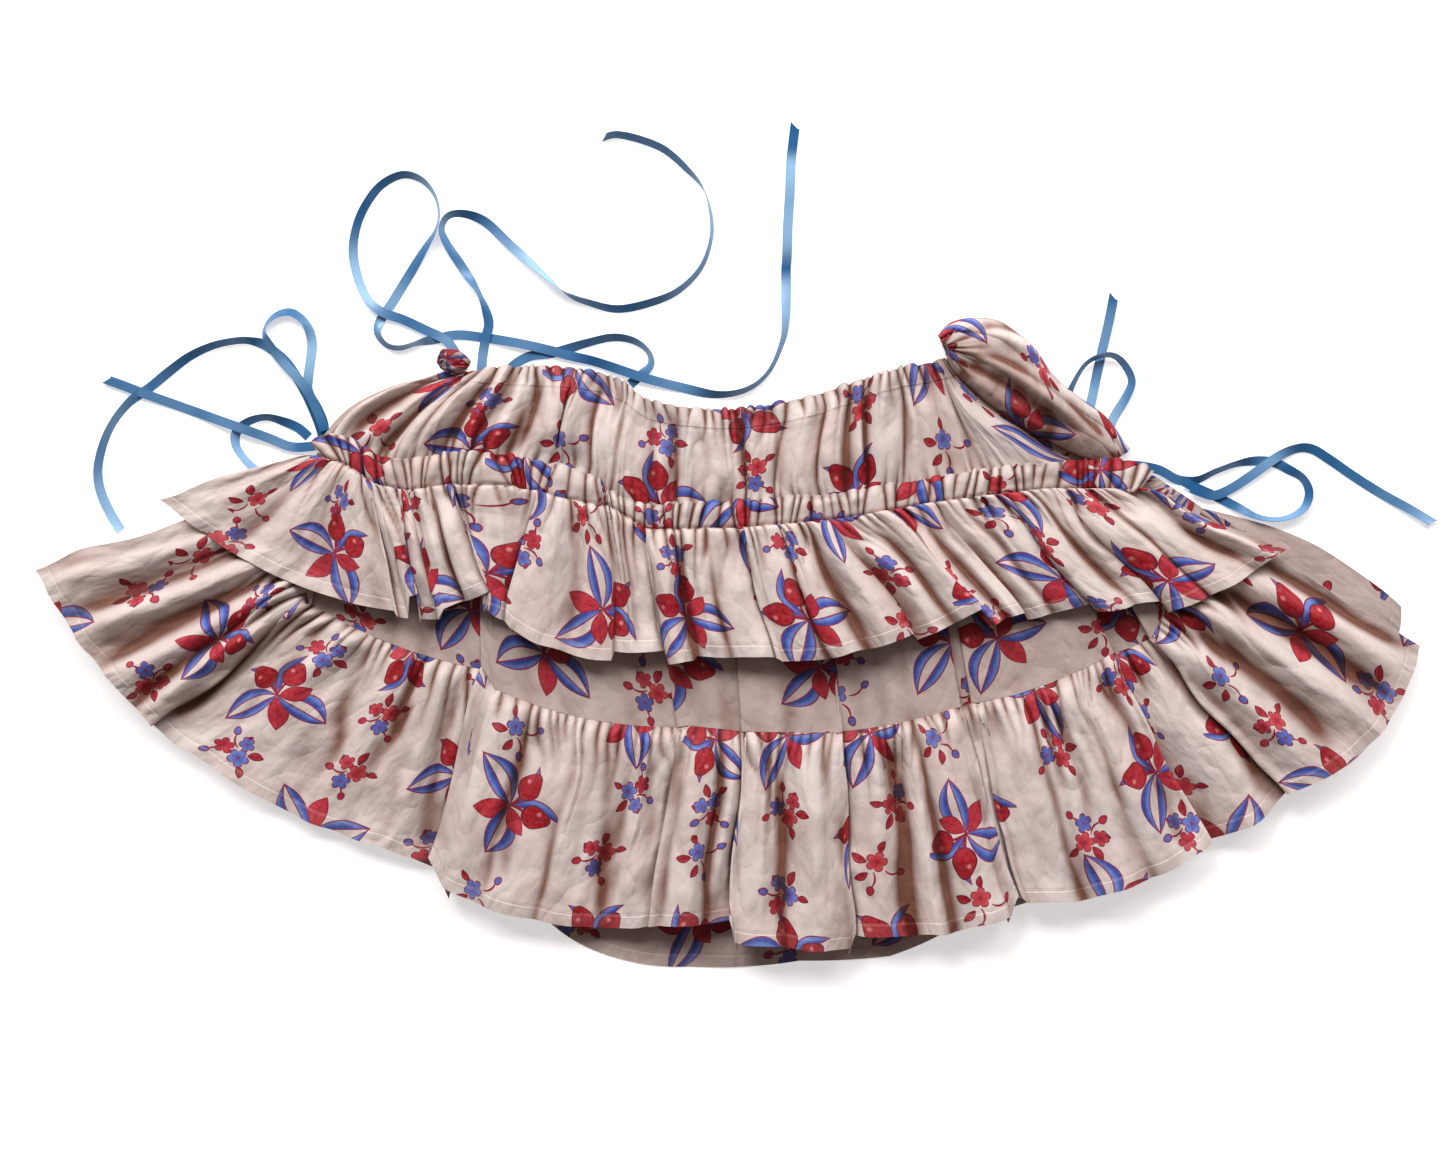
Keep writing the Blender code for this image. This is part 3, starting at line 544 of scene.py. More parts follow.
def grid_mesh(name, points, **maps):
    """A grid of points as a mesh. points is rows by columns by 3 in metres, from the low edge up and from
    left to right. Each map is a UV map's name and its rows by columns by 2 values."""
    rows, columns = points.shape[:2]
    work = bmesh.new()
    bmesh.ops.create_grid(work, x_segments=columns - 1, y_segments=rows - 1, size=1.0)
    mesh = mesh_from(name, work)
    flat = read_all(mesh.vertices, "co", 3).reshape(-1, 3)
    column_of = np.rint((flat[:, 0] + 1) / 2 * (columns - 1)).astype(int)
    row_of = np.rint((flat[:, 1] + 1) / 2 * (rows - 1)).astype(int)
    mesh.vertices.foreach_set("co", points[row_of, column_of].ravel())
    corner = read_all(mesh.loops, "vertex_index", kind=int)
    for label, values in maps.items():
        layer = mesh.uv_layers.new(name=label)
        layer.data.foreach_set("uv", values[row_of[corner], column_of[corner]].ravel())
    mesh.update()
    mesh.shade_smooth()
    faces_at = np.bincount(read_all(mesh.loops, "edge_index", kind=int), minlength=len(mesh.edges))
    mesh.edges.foreach_set("use_edge_sharp", faces_at == 1)
    return mesh


def place_piece(name, mesh, finish, node):
    """A finished piece that stands for its solid and takes this finish."""
    mesh.materials.append(finish)
    piece = place_new(name, mesh)
    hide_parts(node)
    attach(piece, ROOT)
    return piece


def add_wall(piece, thickness, offset):
    wall = piece.modifiers.new("wall", "SOLIDIFY")
    wall.thickness = thickness * MM
    wall.offset = offset
    wall.use_rim = True


def over_grid(first, second):
    """Two lines of values as a map over a grid, one value for each row and one for each column."""
    return np.stack(np.meshgrid(first, second, indexing="ij"), axis=2)


ribbon_total = 0.0
across = np.linspace(0, RIBBON_WIDTH * MM, RIBBON_ACROSS + 1)
for node, route in ROUTES.items():
    held = node in HELD_AT_BOTH_ENDS
    rings, path, painted_highlight = ribbon_rings(table(Stop, *route), not held)
    points = np.array([[list(p) for p in ring] for ring in zip(*rings)])
    along = np.concatenate([[0], np.cumsum([(b - a).length for a, b in zip(path, path[1:])])])
    # The shade map carries each ring's painted highlight
    mesh = grid_mesh(
        node + "_satin", points, along=over_grid(across, along), shade=over_grid(across, painted_highlight)[:, :, ::-1]
    )
    ribbon = place_piece(node + "_satin", mesh, satin, node)
    add_wall(ribbon, RIBBON_WALL, 0.0)
    length = float(along[-1])
    ribbon_total += length
print("ribbon in all:", round(ribbon_total, 3), "m")

# %% [markdown]
# ## The cut of each panel
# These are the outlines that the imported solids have, in millimetres. A section is a line down a panel, from
# its upper edge to its lower one, and `folds` is how many folds lie between it and the next. Where it is 0,
# the cloth turns back on itself: one leaf of the gathered strip lies over the next, and `level` says which
# is on top. A seam is the same for the band and the flounce at once. A row says how high a panel lies at
# one share of its way down, how high its folds stand there and what share of a level shows. A cut is a line
# across the side fold.

# %% Panel tables
Section = namedtuple("Section", "top_x top_y low_x low_y bow level folds top_sag low_sag", defaults=(0, 0))
Seam = namedtuple(
    "Seam", "line_x line_y seam_x seam_y hem_x hem_y level folds seam_sag hem_sag hem_bow", defaults=(0, 0, 0)
)
Row = namedtuple("Row", "share height fold overlap")
Cut = namedtuple("Cut", "out_x out_y in_x in_y swell fold")

UPPER_TIER = table(
    Section,
    (-188, 180, -273, 132, -9, 0, 3), (-172, 181, -228, 118, -4, 0.5, 3), (-152, 184, -185, 120, -2, 1, 3),
    (-122, 185, -142, 118, 0, 0, 3), (-85, 181, -92, 107, 0, 1, 2), (-66, 173, -77, 95, 0, 1, 2, 1),
    (-52, 162, -48, 85, 0, 0, 5, 2, 1), (8, 156, 12, 88, 0, 0, 6, 2, -1), (78, 172, 78, 94, 0, 0.5, 4),
    (116, 184, 117, 102, 0, 0, 2), (139, 188, 172, 108, -2, 0, 2), (143, 190, 246, 114, -8, 0, 0),
)
UPPER_TIER_ROWS = table(
    Row,
    (0.0, 1.8, 3.4, 0.2), (0.16, 2.4, 4.4, 0.6), (0.35, 3.8, 7.0, 1.4), (0.65, 4.6, 8.0, 1.8),
    (1.0, 3.0, 3.4, 0.8),
)

SIDE_FOLD = table(
    Cut,
    (140, 204, 145, 191, 3, 2.6), (149, 213, 150, 180, 6, 4.2), (165, 216, 160, 170, 9, 4.4),
    (183, 213, 176, 156, 12, 3.2), (202, 198, 194, 143, 13, 2.2), (217, 178, 212, 134, 12, 1.6),
    (233, 164, 228, 126, 9, 1.6), (252, 150, 242, 120, 6, 2.2), (268, 128, 250, 117, 2, 2.4),
)
SIDE_FOLD_OUTER_HEIGHT = 1.8
SIDE_FOLD_INNER_HEIGHT = 5.2
SIDE_FOLD_FULLNESS = 0.7

SEAM = table(
    Seam,
    (-272, 127, -288, 108, -458, 48, 1, 5, 0, 4), (-262, 120, -279, 30, -384, -50, 4, 0),
    (-261, 119, -277, 26, -381, -54, 0, 8, 6, 12), (-164, 112, -162, -18, -196, -145, 0, 0),
    (-156, 111, -154, -31, -188, -162, 3, 8, 7, 10), (-54, 84, -32, -56, -51, -187, 1, 0),
    (-49, 83, -26, -55, -45, -186, 4, 3), (2, 80, 10, -59, 2, -184, 2, 0),
    (4, 80, 12, -59, 5, -197, 5, 4, 0, 1), (60, 82, 74, -60, 81, -202, 4, 0),
    (62, 82, 76, -59, 84, -193, 2, 5, 2, 5), (126, 92, 149, -44, 187, -180, 4, 0),
    (131, 93, 154, -43, 191, -169, 0, 1), (139, 95, 163, -40, 195, -168, 0, 0),
    (141, 95, 166, -40, 198, -171, 3, 6, 4, 10), (205, 104, 254, -8, 315, -135, 4, 0),
    (207, 105, 256, -7, 318, -130, 0, 2, 1, 5), (225, 107, 281, 3, 370, -99, 0, 0),
    (227, 107, 283, 6, 375, -97, 4, 5, 3, 17), (282, 112, 315, 90, 459, -2, 1, 0),
)
BAND_ROWS = table(Row, (0.0, 3.0, 0.4, 0.3), (1.0, 2.8, 0.5, 0.6))
FLOUNCE_ROWS = table(
    Row,
    (0.0, 2.8, 1.0, 0.8), (0.1, 3.2, 3.6, 1.1), (0.35, 4.2, 7.0, 1.6), (0.7, 5.2, 9.0, 1.9),
    (1.0, 7.4, 9.5, 1.8),
)

RUFFLE = table(
    Section,
    (-273, 126.5, -375, 95, 0, 1, 5, -4, 12), (-238, 112, -220, 21, 0, 2, 0),
    (-236, 111, -218, 17.5, 0, 0, 0), (-232, 110, -211, 17, 0, 1.5, 0), (-230, 110, -209.5, 31, 0, 3, 0),
    (-219.5, 108, -204, 32, 0, 2.4, 0), (-217, 108, -203, 16.5, 0, 0, 1), (-211, 107, -190, 17, 0, 0, 0),
    (-209, 107, -187, 23, 0, 4, 3), (-184, 111, -157, 34, 0, 3, 0), (-182, 111, -160, 22, 0, 0, 2),
    (-124, 107, -146, 14, 0, 0, 0), (-120, 105, -143, 10, 3, 4, 4, 1, 5), (-80, 94, -77, -11, 0, 3, 0),
    (-78, 93, -75, -5, 0, 2, 2), (-53, 80, -41, -6, 0, 2, 0), (-52, 79, -39, -13, 0, 4, 2),
    (-37, 79, -22, -12, 0, 3, 0), (-36, 79, -20, -9, 0, 2, 4), (10, 82, 33, -10, 0, 1, 0),
    (12, 82, 36, -12, 0, 4, 5, 0, 4), (63, 86, 122, 6, 0, 3, 0), (65, 86, 125, 2, 0, 2, 4),
    (102, 92, 171, 24, 0, 3, 0), (104, 93, 174, 12, 0, 1, 3), (132, 98, 196, 20, 0, 1, 0),
    (134, 98, 198, 16, 0, 0, 3), (172, 103, 242, 26, 0, 0, 0), (174, 103, 244, 21, 0, 3, 3),
    (212, 107, 288, 28, 0, 2, 0), (214, 107, 291, 20, 0, 3, 5, 0, 3), (274, 104, 369, 62, 0, 1, 0),
)
RUFFLE_ROWS = table(
    Row,
    (0.0, 6.6, 2.6, 0.4), (0.16, 7.2, 5.6, 0.9), (0.5, 8.6, 9.5, 1.5), (1.0, 9.6, 9.0, 1.6),
)

CASING = table(
    Section,
    (-277, 134, -272, 127, 0, 0, 2), (-265, 140, -258, 126, 0, 0, 3), (-251, 137, -250, 123, 0, 0, 2),
    (-232, 125, -233, 111.5, 0, 0, 2), (-212, 122, -213, 107.5, 0, 0, 3), (-181, 127, -183, 112, 0, 0, 3),
    (-142, 125.5, -141, 111, 0, 0.6, 0), (-139, 123, -138, 108, 0, 0, 2), (-115, 119, -118, 105.5, 0, 0, 0),
    (-112, 120, -115, 104.5, 0, 2.5, 3), (-83, 109, -85, 97, 0, 2.5, 0), (-80, 102, -80, 95, 0, 0, 3, 1, 0),
    (-52, 92, -52, 80.5, 0, 0, 7), (11, 95, 10, 82.5, 0, 0, 6), (75, 100, 74, 87.5, 0, 0, 8),
    (155, 113.5, 156, 101.5, 0, 0, 5), (208, 120, 209, 107.5, 0, 0, 3), (255, 123, 255, 108.5, 0, 0.5, 2),
    (270, 121, 266, 106.5, 0, 0, 2), (283, 114.5, 275, 104.5, 0, 0, 0),
)
CASING_ROWS = table(Row, (0.0, 6.6, 1.6, 1.0), (0.45, 7.2, 2.2, 1.0), (1.0, 6.8, 1.4, 0.4))

BACK_TIER = table(
    Section,
    (-178, 174, -262, 126, -7, 0, 1), (-122, 178, -142, 118, 0, 0, 1), (-85, 174, -92, 107, 0, 0, 1),
    (-50, 155, -48, 85, 0, 0, 1), (8, 149, 12, 88, 0, 0, 1), (78, 165, 78, 94, 0, 0, 1),
    (140, 184, 150, 106, 0, 0, 1), (160, 202, 205, 112, 3, 0, 1), (176, 196, 252, 112, 4, 0, 0),
)
BACK_SEAM = table(
    Seam,
    (-262, 126, -278, 96, -446, 40, 0, 3, 0, 6), (-230, 116, -262, 20, -374, -46, 0, 4, 4, 8),
    (-142, 110, -157, -32, -190, -152, 0, 3, 4, 5), (-80, 96, -80, -58, -118, -187, 0, 2, 0, 2),
    (-48, 84, -30, -62, -84, -207, 0, 3, 0, 3), (12, 84, 14, -64, -25, -216, 0, 3, 0, 2),
    (40, 84, 50, -64, 48, -212, 0, 2, 0, 1), (78, 90, 90, -60, 108, -209, 0, 3, 0, 2),
    (112, 96, 150, -48, 160, -184, 0, 4, 0, 5), (205, 104, 254, -14, 310, -128, 0, 4, 4, 14),
    (250, 106, 280, 50, 430, -20, 0, 3, 0, 6, 4), (268, 106, 298, 92, 449, 24, 0, 0, 0, 0, 13),
)
BACK_RUFFLE = table(
    Section,
    (-262, 124, -350, 84, 0, 0, 4, 0, 10), (-142, 108, -146, 20, 0, 0, 4, 2, 4),
    (-48, 82, -44, 2, 0, 0, 4, 0, 2), (78, 90, 86, 2, 0, 0, 4, 1, 4), (205, 102, 268, 34, 0, 0, 4, 1, 6),
    (262, 108, 350, 62, 0, 0, 0),
)
BACK_TIER_ROWS = table(Row, (0.0, 0.0, 0.3, 0), (0.5, 0.0, 0.3, 0), (0.85, 0.6, 0.3, 0), (1.0, 1.5, 0.3, 0))
BACK_BAND_ROWS = table(Row, (0.0, 1.5, 0.2, 0), (1.0, 1.5, 0.2, 0))
BACK_FLOUNCE_ROWS = table(
    Row, (0.0, 1.5, 0.3, 0), (0.45, 1.5, 0.4, 0), (0.75, 0.0, 0.4, 0), (1.0, 0.0, 0.5, 0),
)
BACK_RUFFLE_ROWS = table(Row, (0.0, 0.0, 0.2, 0), (1.0, 0.0, 0.3, 0))


def band_sections(seam):
    return [Section(*s[:4], 0, s.level, s.folds, 0, s.seam_sag) for s in seam]


def flounce_sections(seam):
    return [Section(*s[2:6], s.hem_bow, s.level, s.folds, s.seam_sag, s.hem_sag) for s in seam]


print("front flounce folds:", sum(s.folds for s in SEAM), "ruffle folds:", sum(s.folds for s in RUFFLE))

# %% [markdown]
# ## Creases placed one by one
# Pressed cotton keeps a few long soft creases beside its gathers. Each is placed where the cloth shows one:
# from one point to another, how wide it is, how far it stands up (or sinks, below zero) and how far its
# middle bends to the left. All are in millimetres.

# %% Creases
Crease = namedtuple("Crease", "x0 y0 x1 y1 width height bend", defaults=(0,))

FLOUNCE_CREASES = table(
    Crease,
    (-286, 104, -446, 56, 7, 3.0, 4), (-300, 84, -450, 40, 8, 5.0, 3), (-300, 72, -436, 18, 7, -3.0, 2),
    (-290, 62, -432, 6, 9, 6.0, 2), (-286, 50, -414, -14, 7, -3.5, 0), (-282, 44, -410, -30, 9, 6.5, -2),
    (-280, 36, -396, -42, 6, -3.0, -3), (-278, 30, -385, -48, 7, 7.0, -3),
    (-268, 22, -366, -52, 11, -3.0, -9), (-240, 12, -292, -40, 8, 3.6, -6),
    (-226, 6, -262, -62, 7, -3.0, -6), (-212, 0, -250, -100, 8, 3.2, -8),
    (-196, -6, -222, -70, 7, -3.0, -4), (-184, -10, -216, -132, 8, 3.8, -4),
    (-172, -14, -204, -138, 8, -3.0, -3), (-316, -36, -262, -74, 12, 2.0, 10),
    (-142, -38, -176, -160, 9, 3.6, -4), (-124, -44, -150, -168, 8, -3.4, -4),
    (-98, -50, -112, -178, 9, 3.4, -3), (-78, -54, -88, -182, 7, -3.4, 2), (-60, -56, -66, -180, 7, 3.6, 2),
    (-14, -62, -28, -182, 8, 3.4, -2), (30, -64, 32, -190, 8, -3.4, 2), (52, -64, 62, -196, 8, 3.8, 2),
    (90, -62, 104, -186, 9, 3.2, 3), (108, -60, 128, -184, 8, -3.2, 3), (128, -56, 156, -182, 9, 3.6, 3),
    (186, -40, 222, -160, 9, 3.8, 3), (206, -34, 252, -154, 8, -3.4, 4), (228, -26, 284, -148, 9, 3.8, 4),
    (244, -16, 304, -140, 7, -3.0, 4), (270, -6, 350, -108, 8, 3.6, 5), (290, 2, 384, -88, 8, 6.5, 6),
    (296, 16, 404, -74, 8, -5.5, 6), (300, 28, 424, -56, 9, 7.0, 5), (304, 44, 438, -36, 8, -5.0, 5),
    (306, 58, 446, -22, 9, 6.0, 4), (312, 76, 454, -8, 7, -4.0, 3),
)
RUFFLE_CREASES = table(
    Crease,
    (-270, 124, -356, 92, 8, 2.0, 3), (-264, 120, -330, 62, 8, -2.4, -2), (-258, 118, -298, 44, 9, 2.6, -4),
    (-250, 114, -266, 34, 8, -2.4, -4), (-243, 112, -240, 30, 7, 2.2, -3), (-112, 98, -132, 14, 7, 2.0, 3),
    (-100, 96, -106, 4, 8, -2.4, 2), (-90, 94, -88, -4, 7, 2.4, 1), (-66, 84, -60, -4, 6, -2.4, 0),
    (-20, 78, -8, -8, 6, 2.2, 0), (0, 80, 16, -8, 6, -2.2, 0), (26, 82, 60, -10, 8, 2.4, 3),
    (42, 84, 88, -4, 7, -2.6, 3), (56, 85, 108, 2, 7, 2.2, 3), (82, 88, 142, 12, 7, 2.2, 2),
    (116, 94, 184, 16, 6, -2.4, 2), (150, 100, 214, 20, 6, 2.2, 2), (190, 104, 262, 24, 7, -2.4, 2),
    (232, 106, 320, 30, 8, 2.2, 3), (250, 106, 342, 44, 8, -2.2, 3),
)
TIER_CREASES = table(
    Crease,
    (-186, 178, -256, 130, 6, 2.4, 4), (-180, 178, -240, 124, 6, -2.6, 4),
    (-172, 178, -222, 120, 7, 2.8, 3), (-160, 180, -200, 120, 6, -2.8, 3),
    (-146, 182, -176, 120, 7, 2.8, 3), (-128, 182, -150, 120, 6, -2.6, 2),
    (-108, 182, -118, 116, 7, 2.4, 2), (-84, 176, -104, 112, 6, -2.6, -2), (-62, 166, -74, 96, 6, 2.6, -2),
    (-36, 156, -30, 88, 6, -2.2, 2), (-14, 152, -10, 90, 6, 2.4, 2), (26, 154, 24, 90, 6, -2.4, -2),
    (52, 160, 50, 92, 6, 2.6, -2), (78, 170, 86, 96, 6, -2.2, 2), (104, 178, 100, 100, 5, 1.8, -2),
    (126, 184, 150, 108, 6, -2.0, 3), (116.5, 190, 117, 96, 0.9, -1.3, 0),
)

# Where the side fold leans over the tier, less light comes in, so shade is painted there: here the last size
# is how deep the painted shade is
TIER_SHADE = table(Crease, (134, 204, 262, 112, 16, 0.6), (128, 186, 150, 100, 8, 0.25, 4))
CREASE_END = 0.25


def crease_height(creases, x, y):
    """The height that all of a panel's creases add at these places, fading out at each crease's ends."""
    total = np.zeros_like(x)
    for crease in creases:
        run = np.array([crease.x1 - crease.x0, crease.y1 - crease.y0], float)
        length = np.hypot(*run)
        run /= length
        along = ((x - crease.x0) * run[0] + (y - crease.y0) * run[1]) / length
        aside = -(x - crease.x0) * run[1] + (y - crease.y0) * run[0]
        inside = np.clip(along, 0, 1)
        aside = aside - crease.bend * 4 * inside * (1 - inside)
        fade = np.clip(np.minimum(along, 1 - along) * 4 + CREASE_END, 0, 1)
        total += crease.height * np.exp(-(aside / crease.width) ** 2) * fade * fade * (3 - 2 * fade)
    return total


print("creases:", len(FLOUNCE_CREASES) + len(RUFFLE_CREASES) + len(TIER_CREASES))

# %% [markdown]
# ## How gathered cloth folds
# A gathered strip has two sizes of fold. Close to the seam are small puckers, one for each few stitches of
# the gathering thread, and they die out within a few centimetres. Below them the cloth collects into
# broader folds, uneven in width, height and lean, and some of them start late or stop early. Where a leaf
# lies over the next one, the cloth runs in under it and back out, in the shape of an S.

# %% Fold shapes
FOLD_SEED = 7
FOLD_SHARE = 0.55
UNEVEN_WIDTH = 0.32
UNEVEN_HEIGHT = 0.8
FOLD_SKEW = 0.85
FOLD_POINT = (0.3, 0.7)
FOLD_BEGINS = [0.0, 0.0, 0.0, 0.18, 0.34]
FOLD_ENDS = [1.3, 1.3, 1.3, 0.85, 0.6]
FOLD_EARLY = 0.22
FOLD_RISE = 0.3
FOLD_FALL = 0.35

# A leaf's turn: how far across its width and up its level each point of the S lies
TURN = [
    (0.0, 0.0), (0.45, 0.0), (0.95, 0.04), (1.32, 0.14), (1.42, 0.3), (1.2, 0.48), (0.6, 0.62), (0.1, 0.7),
    (-0.2, 0.82), (-0.18, 0.96), (0.1, 1.03), (0.5, 1.02), (1.0, 1.0),
]
TURN_LEAST = 1.6
TURN_HIDDEN = 22.0
TURN_HIDDEN_AT = (5, 7)

PLEATS_FROM = -320.0
PLEAT_LEAN = 0.5
PLEAT_LEAN_OVER = 17.0
PLEAT_HEIGHT = (0.25, 1.0)
PLEAT_REACH = (0.3, 1.1)
LONG_PLEAT_REACH = 1.7
SHORT_PLEATS = 0.8
PLEAT_ROUND = 0.75


def lerp(a, b, share):
    return a + (b - a) * share


def smooth(share):
    share = np.clip(share, 0, 1)
    return share * share * (3 - 2 * share)


def swollen(start, end, sag, share):
    """A point between two edge points, pushed to the right of the way from one to the other."""
    dx = end[0] - start[0]
    dy = end[1] - start[1]
    span = math.hypot(dx, dy) or 1.0
    push = sag * 4 * share * (1 - share)
    return lerp(start[0], end[0], share) + push * dy / span, lerp(start[1], end[1], share) - push * dx / span


def mixed(left, right, share, rise):
    top = swollen(left[0:2], right[0:2], left.top_sag, share)
    low = swollen(left[2:4], right[2:4], left.low_sag, share)
    return (*top, *low, lerp(left.bow, right.bow, share), lerp(left.level, right.level, rise))


def columns_across(sections, spacing, calm):
    """One line for each column: the section there, then its fold's wave, height, lean, start and end, and how
    much hidden cloth lies before it. spacing is how far apart the columns are, in millimetres."""
    chance = random.Random(FOLD_SEED)
    habit = random.Random(FOLD_SEED + 1)
    columns = []
    for index, (left, right) in enumerate(zip(sections, sections[1:])):
        rise = right.level - left.level
        if left.folds == 0 and abs(rise) >= TURN_LEAST:
            route = TURN if rise > 0 else [(1 - s, 1 - h) for s, h in reversed(TURN)]
            for step, (share, level) in enumerate(route[:-1]):
                hidden = TURN_HIDDEN if step in TURN_HIDDEN_AT else 0.0
                columns.append((*mixed(left, right, share, level), 0, 0, 0, 0, 1, hidden))
            chance.random()
            continue
        count = max(round(left.folds * FOLD_SHARE), 1)
        width = (math.dist(left[0:2], right[0:2]) + math.dist(left[2:4], right[2:4])) / 2
        inner = [(fold + UNEVEN_WIDTH * (2 * chance.random() - 1)) / count for fold in range(1, count)]
        edges = [0.0, *inner, 1.0]
        for start, end in zip(edges, edges[1:]):
            height = (1 - UNEVEN_HEIGHT * chance.random()) * calm.get(index, 1.0)
            skew = habit.uniform(-FOLD_SKEW, FOLD_SKEW)
            point = habit.uniform(*FOLD_POINT)
            lean = habit.uniform(-1, 1)
            begins = habit.choice(FOLD_BEGINS)
            ends = habit.choice(FOLD_ENDS)
            steps = max(3, round((end - start) * width / spacing))
            for step in range(steps):
                phase = step / steps
                share = lerp(start, end, phase)
                leaning = phase + skew * math.sin(2 * math.pi * phase) / (2 * math.pi)
                wave = (0.5 - 0.5 * math.cos(2 * math.pi * leaning)) ** point if left.folds else 0
                place = mixed(left, right, share, share * share * (3 - 2 * share))
                columns.append((*place, wave, height, lean, begins, ends, 0))
    columns.append((*sections[-1][0:6], 0, 0, 0, 0, 1, 0))
    return np.array(columns)


def puckers(distance, away, seed, narrow, wide):
    """Small uneven pleats along a seam: each place's height, from 0 to 1, its pleat's reach and how near it
    is to the valley between two pleats. The pleats lean this way and that as they run from the seam."""
    chance = random.Random(seed)
    lean = np.array([noise.noise(Vector((step / PLEAT_LEAN_OVER, seed, 0.5))) for step in distance])
    distance = distance[None, :] + PLEAT_LEAN * lean[None, :] * away
    edges = [PLEATS_FROM]
    heights = []
    reaches = []
    while edges[-1] < distance.max():
        edges.append(edges[-1] + chance.uniform(narrow, wide))
        heights.append(chance.uniform(*PLEAT_HEIGHT))
        reaches.append(chance.uniform(*PLEAT_REACH) if chance.random() < SHORT_PLEATS else LONG_PLEAT_REACH)
    place, phase = part_of(distance, edges)
    wave = np.sin(np.pi * np.clip(phase, 0, 1)) ** PLEAT_ROUND
    return np.array(heights)[place] * wave, np.array(reaches)[place], (1 - wave) ** 2


def part_of(distance, edges):
    """Which of the parts between these edges each place lies in, and how far across it, from 0 to 1."""
    place = np.clip(np.searchsorted(edges, distance, side="right") - 1, 0, len(edges) - 2)
    edges = np.array(edges)
    return place, (distance - edges[place]) / (edges[place + 1] - edges[place])


def noise_field(x, y, size_x, size_y, seed):
    flat = [noise.noise(Vector((a / size_x, b / size_y, seed))) for a, b in zip(x.ravel(), y.ravel())]
    return np.array(flat).reshape(x.shape)


def soft_rows(rows, shares, item):
    """One column of a row table at these shares, with its corners rounded off."""
    fine = np.linspace(-0.2, 1.2, 281)
    line = np.interp(fine, [row.share for row in rows], [row[item] for row in rows])
    line[20:-20] = np.convolve(line, np.ones(41) / 41, mode="valid")
    return np.interp(shares, fine, line)


def arc(points):
    """Length along each row of points, rows by columns."""
    steps = np.linalg.norm(np.diff(points, axis=1), axis=2)
    return np.concatenate([np.zeros((points.shape[0], 1)), np.cumsum(steps, axis=1)], axis=1)


print("turn of a leaf:", len(TURN), "points")

# %% [markdown]
# ## Building a panel
# A panel is a grid: its columns run down the cloth and its rows across it. Its height is the sum of the
# laid level, the broad folds, the puckers at its gathered edges, the listed creases and a little
# crumple. Each point also knows where it was in the flat cloth, so the print bends with the folds and
# breaks at overlaps.

# %% Panel builder
# Painted shade in the valleys between the puckers: how dark it is and how far it reaches from the seam
VALLEY_SHADE = 0.9
VALLEY_REACH = 0.6
FULL_PUCKER = 4
PLEAT_FADE = 1.6
PLEAT_AT_SEAM = 0.7
PLEAT_OPENS_OVER = 6
PLEAT_LEANS_FOR = 40
SCALLOP_LEVEL = 0.6
SCALLOP_REACH = 7
DIMPLE_REACH = 1.6
TOP_ROWS = [0.0, 0.012, 0.03, 0.055, 0.085]
BODY_ROWS = (0.12, 0.9)
LOW_ROWS = [0.93, 0.955, 0.975, 0.99, 1.0]
CUT_MEASURED_AT = 0.8
WANDER_SIZE = (46, 60)
WANDER_GROWS = 6
HEM_WAVE = 24
RUFFLE_LINE = 6  # the seed that the tier, the casing and the ruffle share, so that their pleats meet

# The cloth's own relief: its size across and down in millimetres, its seed and how high it is
CRUMPLES = [(15, 34, 0.7, 1.0), (6, 14, 1.7, 0.5), (34, 52, 4.4, 3.2)]
FACETS = (22, 46, 0.9, 3.0)

# A style: the rows down the cloth and how far apart its columns are, how far its folds lean, the height,
# reach and widths of its pleats at the upper seam, their height at the low edge, how much the cloth
# crumples and wanders, how its hem wavers, how its top is drawn up between pleats, whether its pleats meet
# those of the panel beside it, and how far its low edge is held down. Sizes in millimetres.
Style = namedtuple(
    "Style",
    "rows spacing lean pucker pucker_reach pucker_size low_pucker crumple wander hem scallop shared dimple",
    defaults=(0, 0, False, 0),
)


def fading(distance, reach, power=2):
    return np.exp(-(distance / reach) ** power)


def seam_pleats(along, away, leaning, seed, style):
    """The pleats beside a seam: their heights, how they fade out and how much painted shade darkens their
    valleys.
    """
    small, reach, valley = puckers(along, leaning, seed, *style.pucker_size)
    reach = style.pucker_reach * reach
    return small, fading(away, reach, PLEAT_FADE), valley * fading(away, reach * VALLEY_REACH, PLEAT_FADE)


def crumpled(u, v, seed):
    """The cloth's own small relief at each place of its cut: crumple, slow swells and flat facets."""
    relief = sum(height * noise_field(u, v, *size, seed + more) for *size, more, height in CRUMPLES)
    *size, more, height = FACETS
    return relief + 1 - height * np.abs(noise_field(u, v, *size, seed + more))


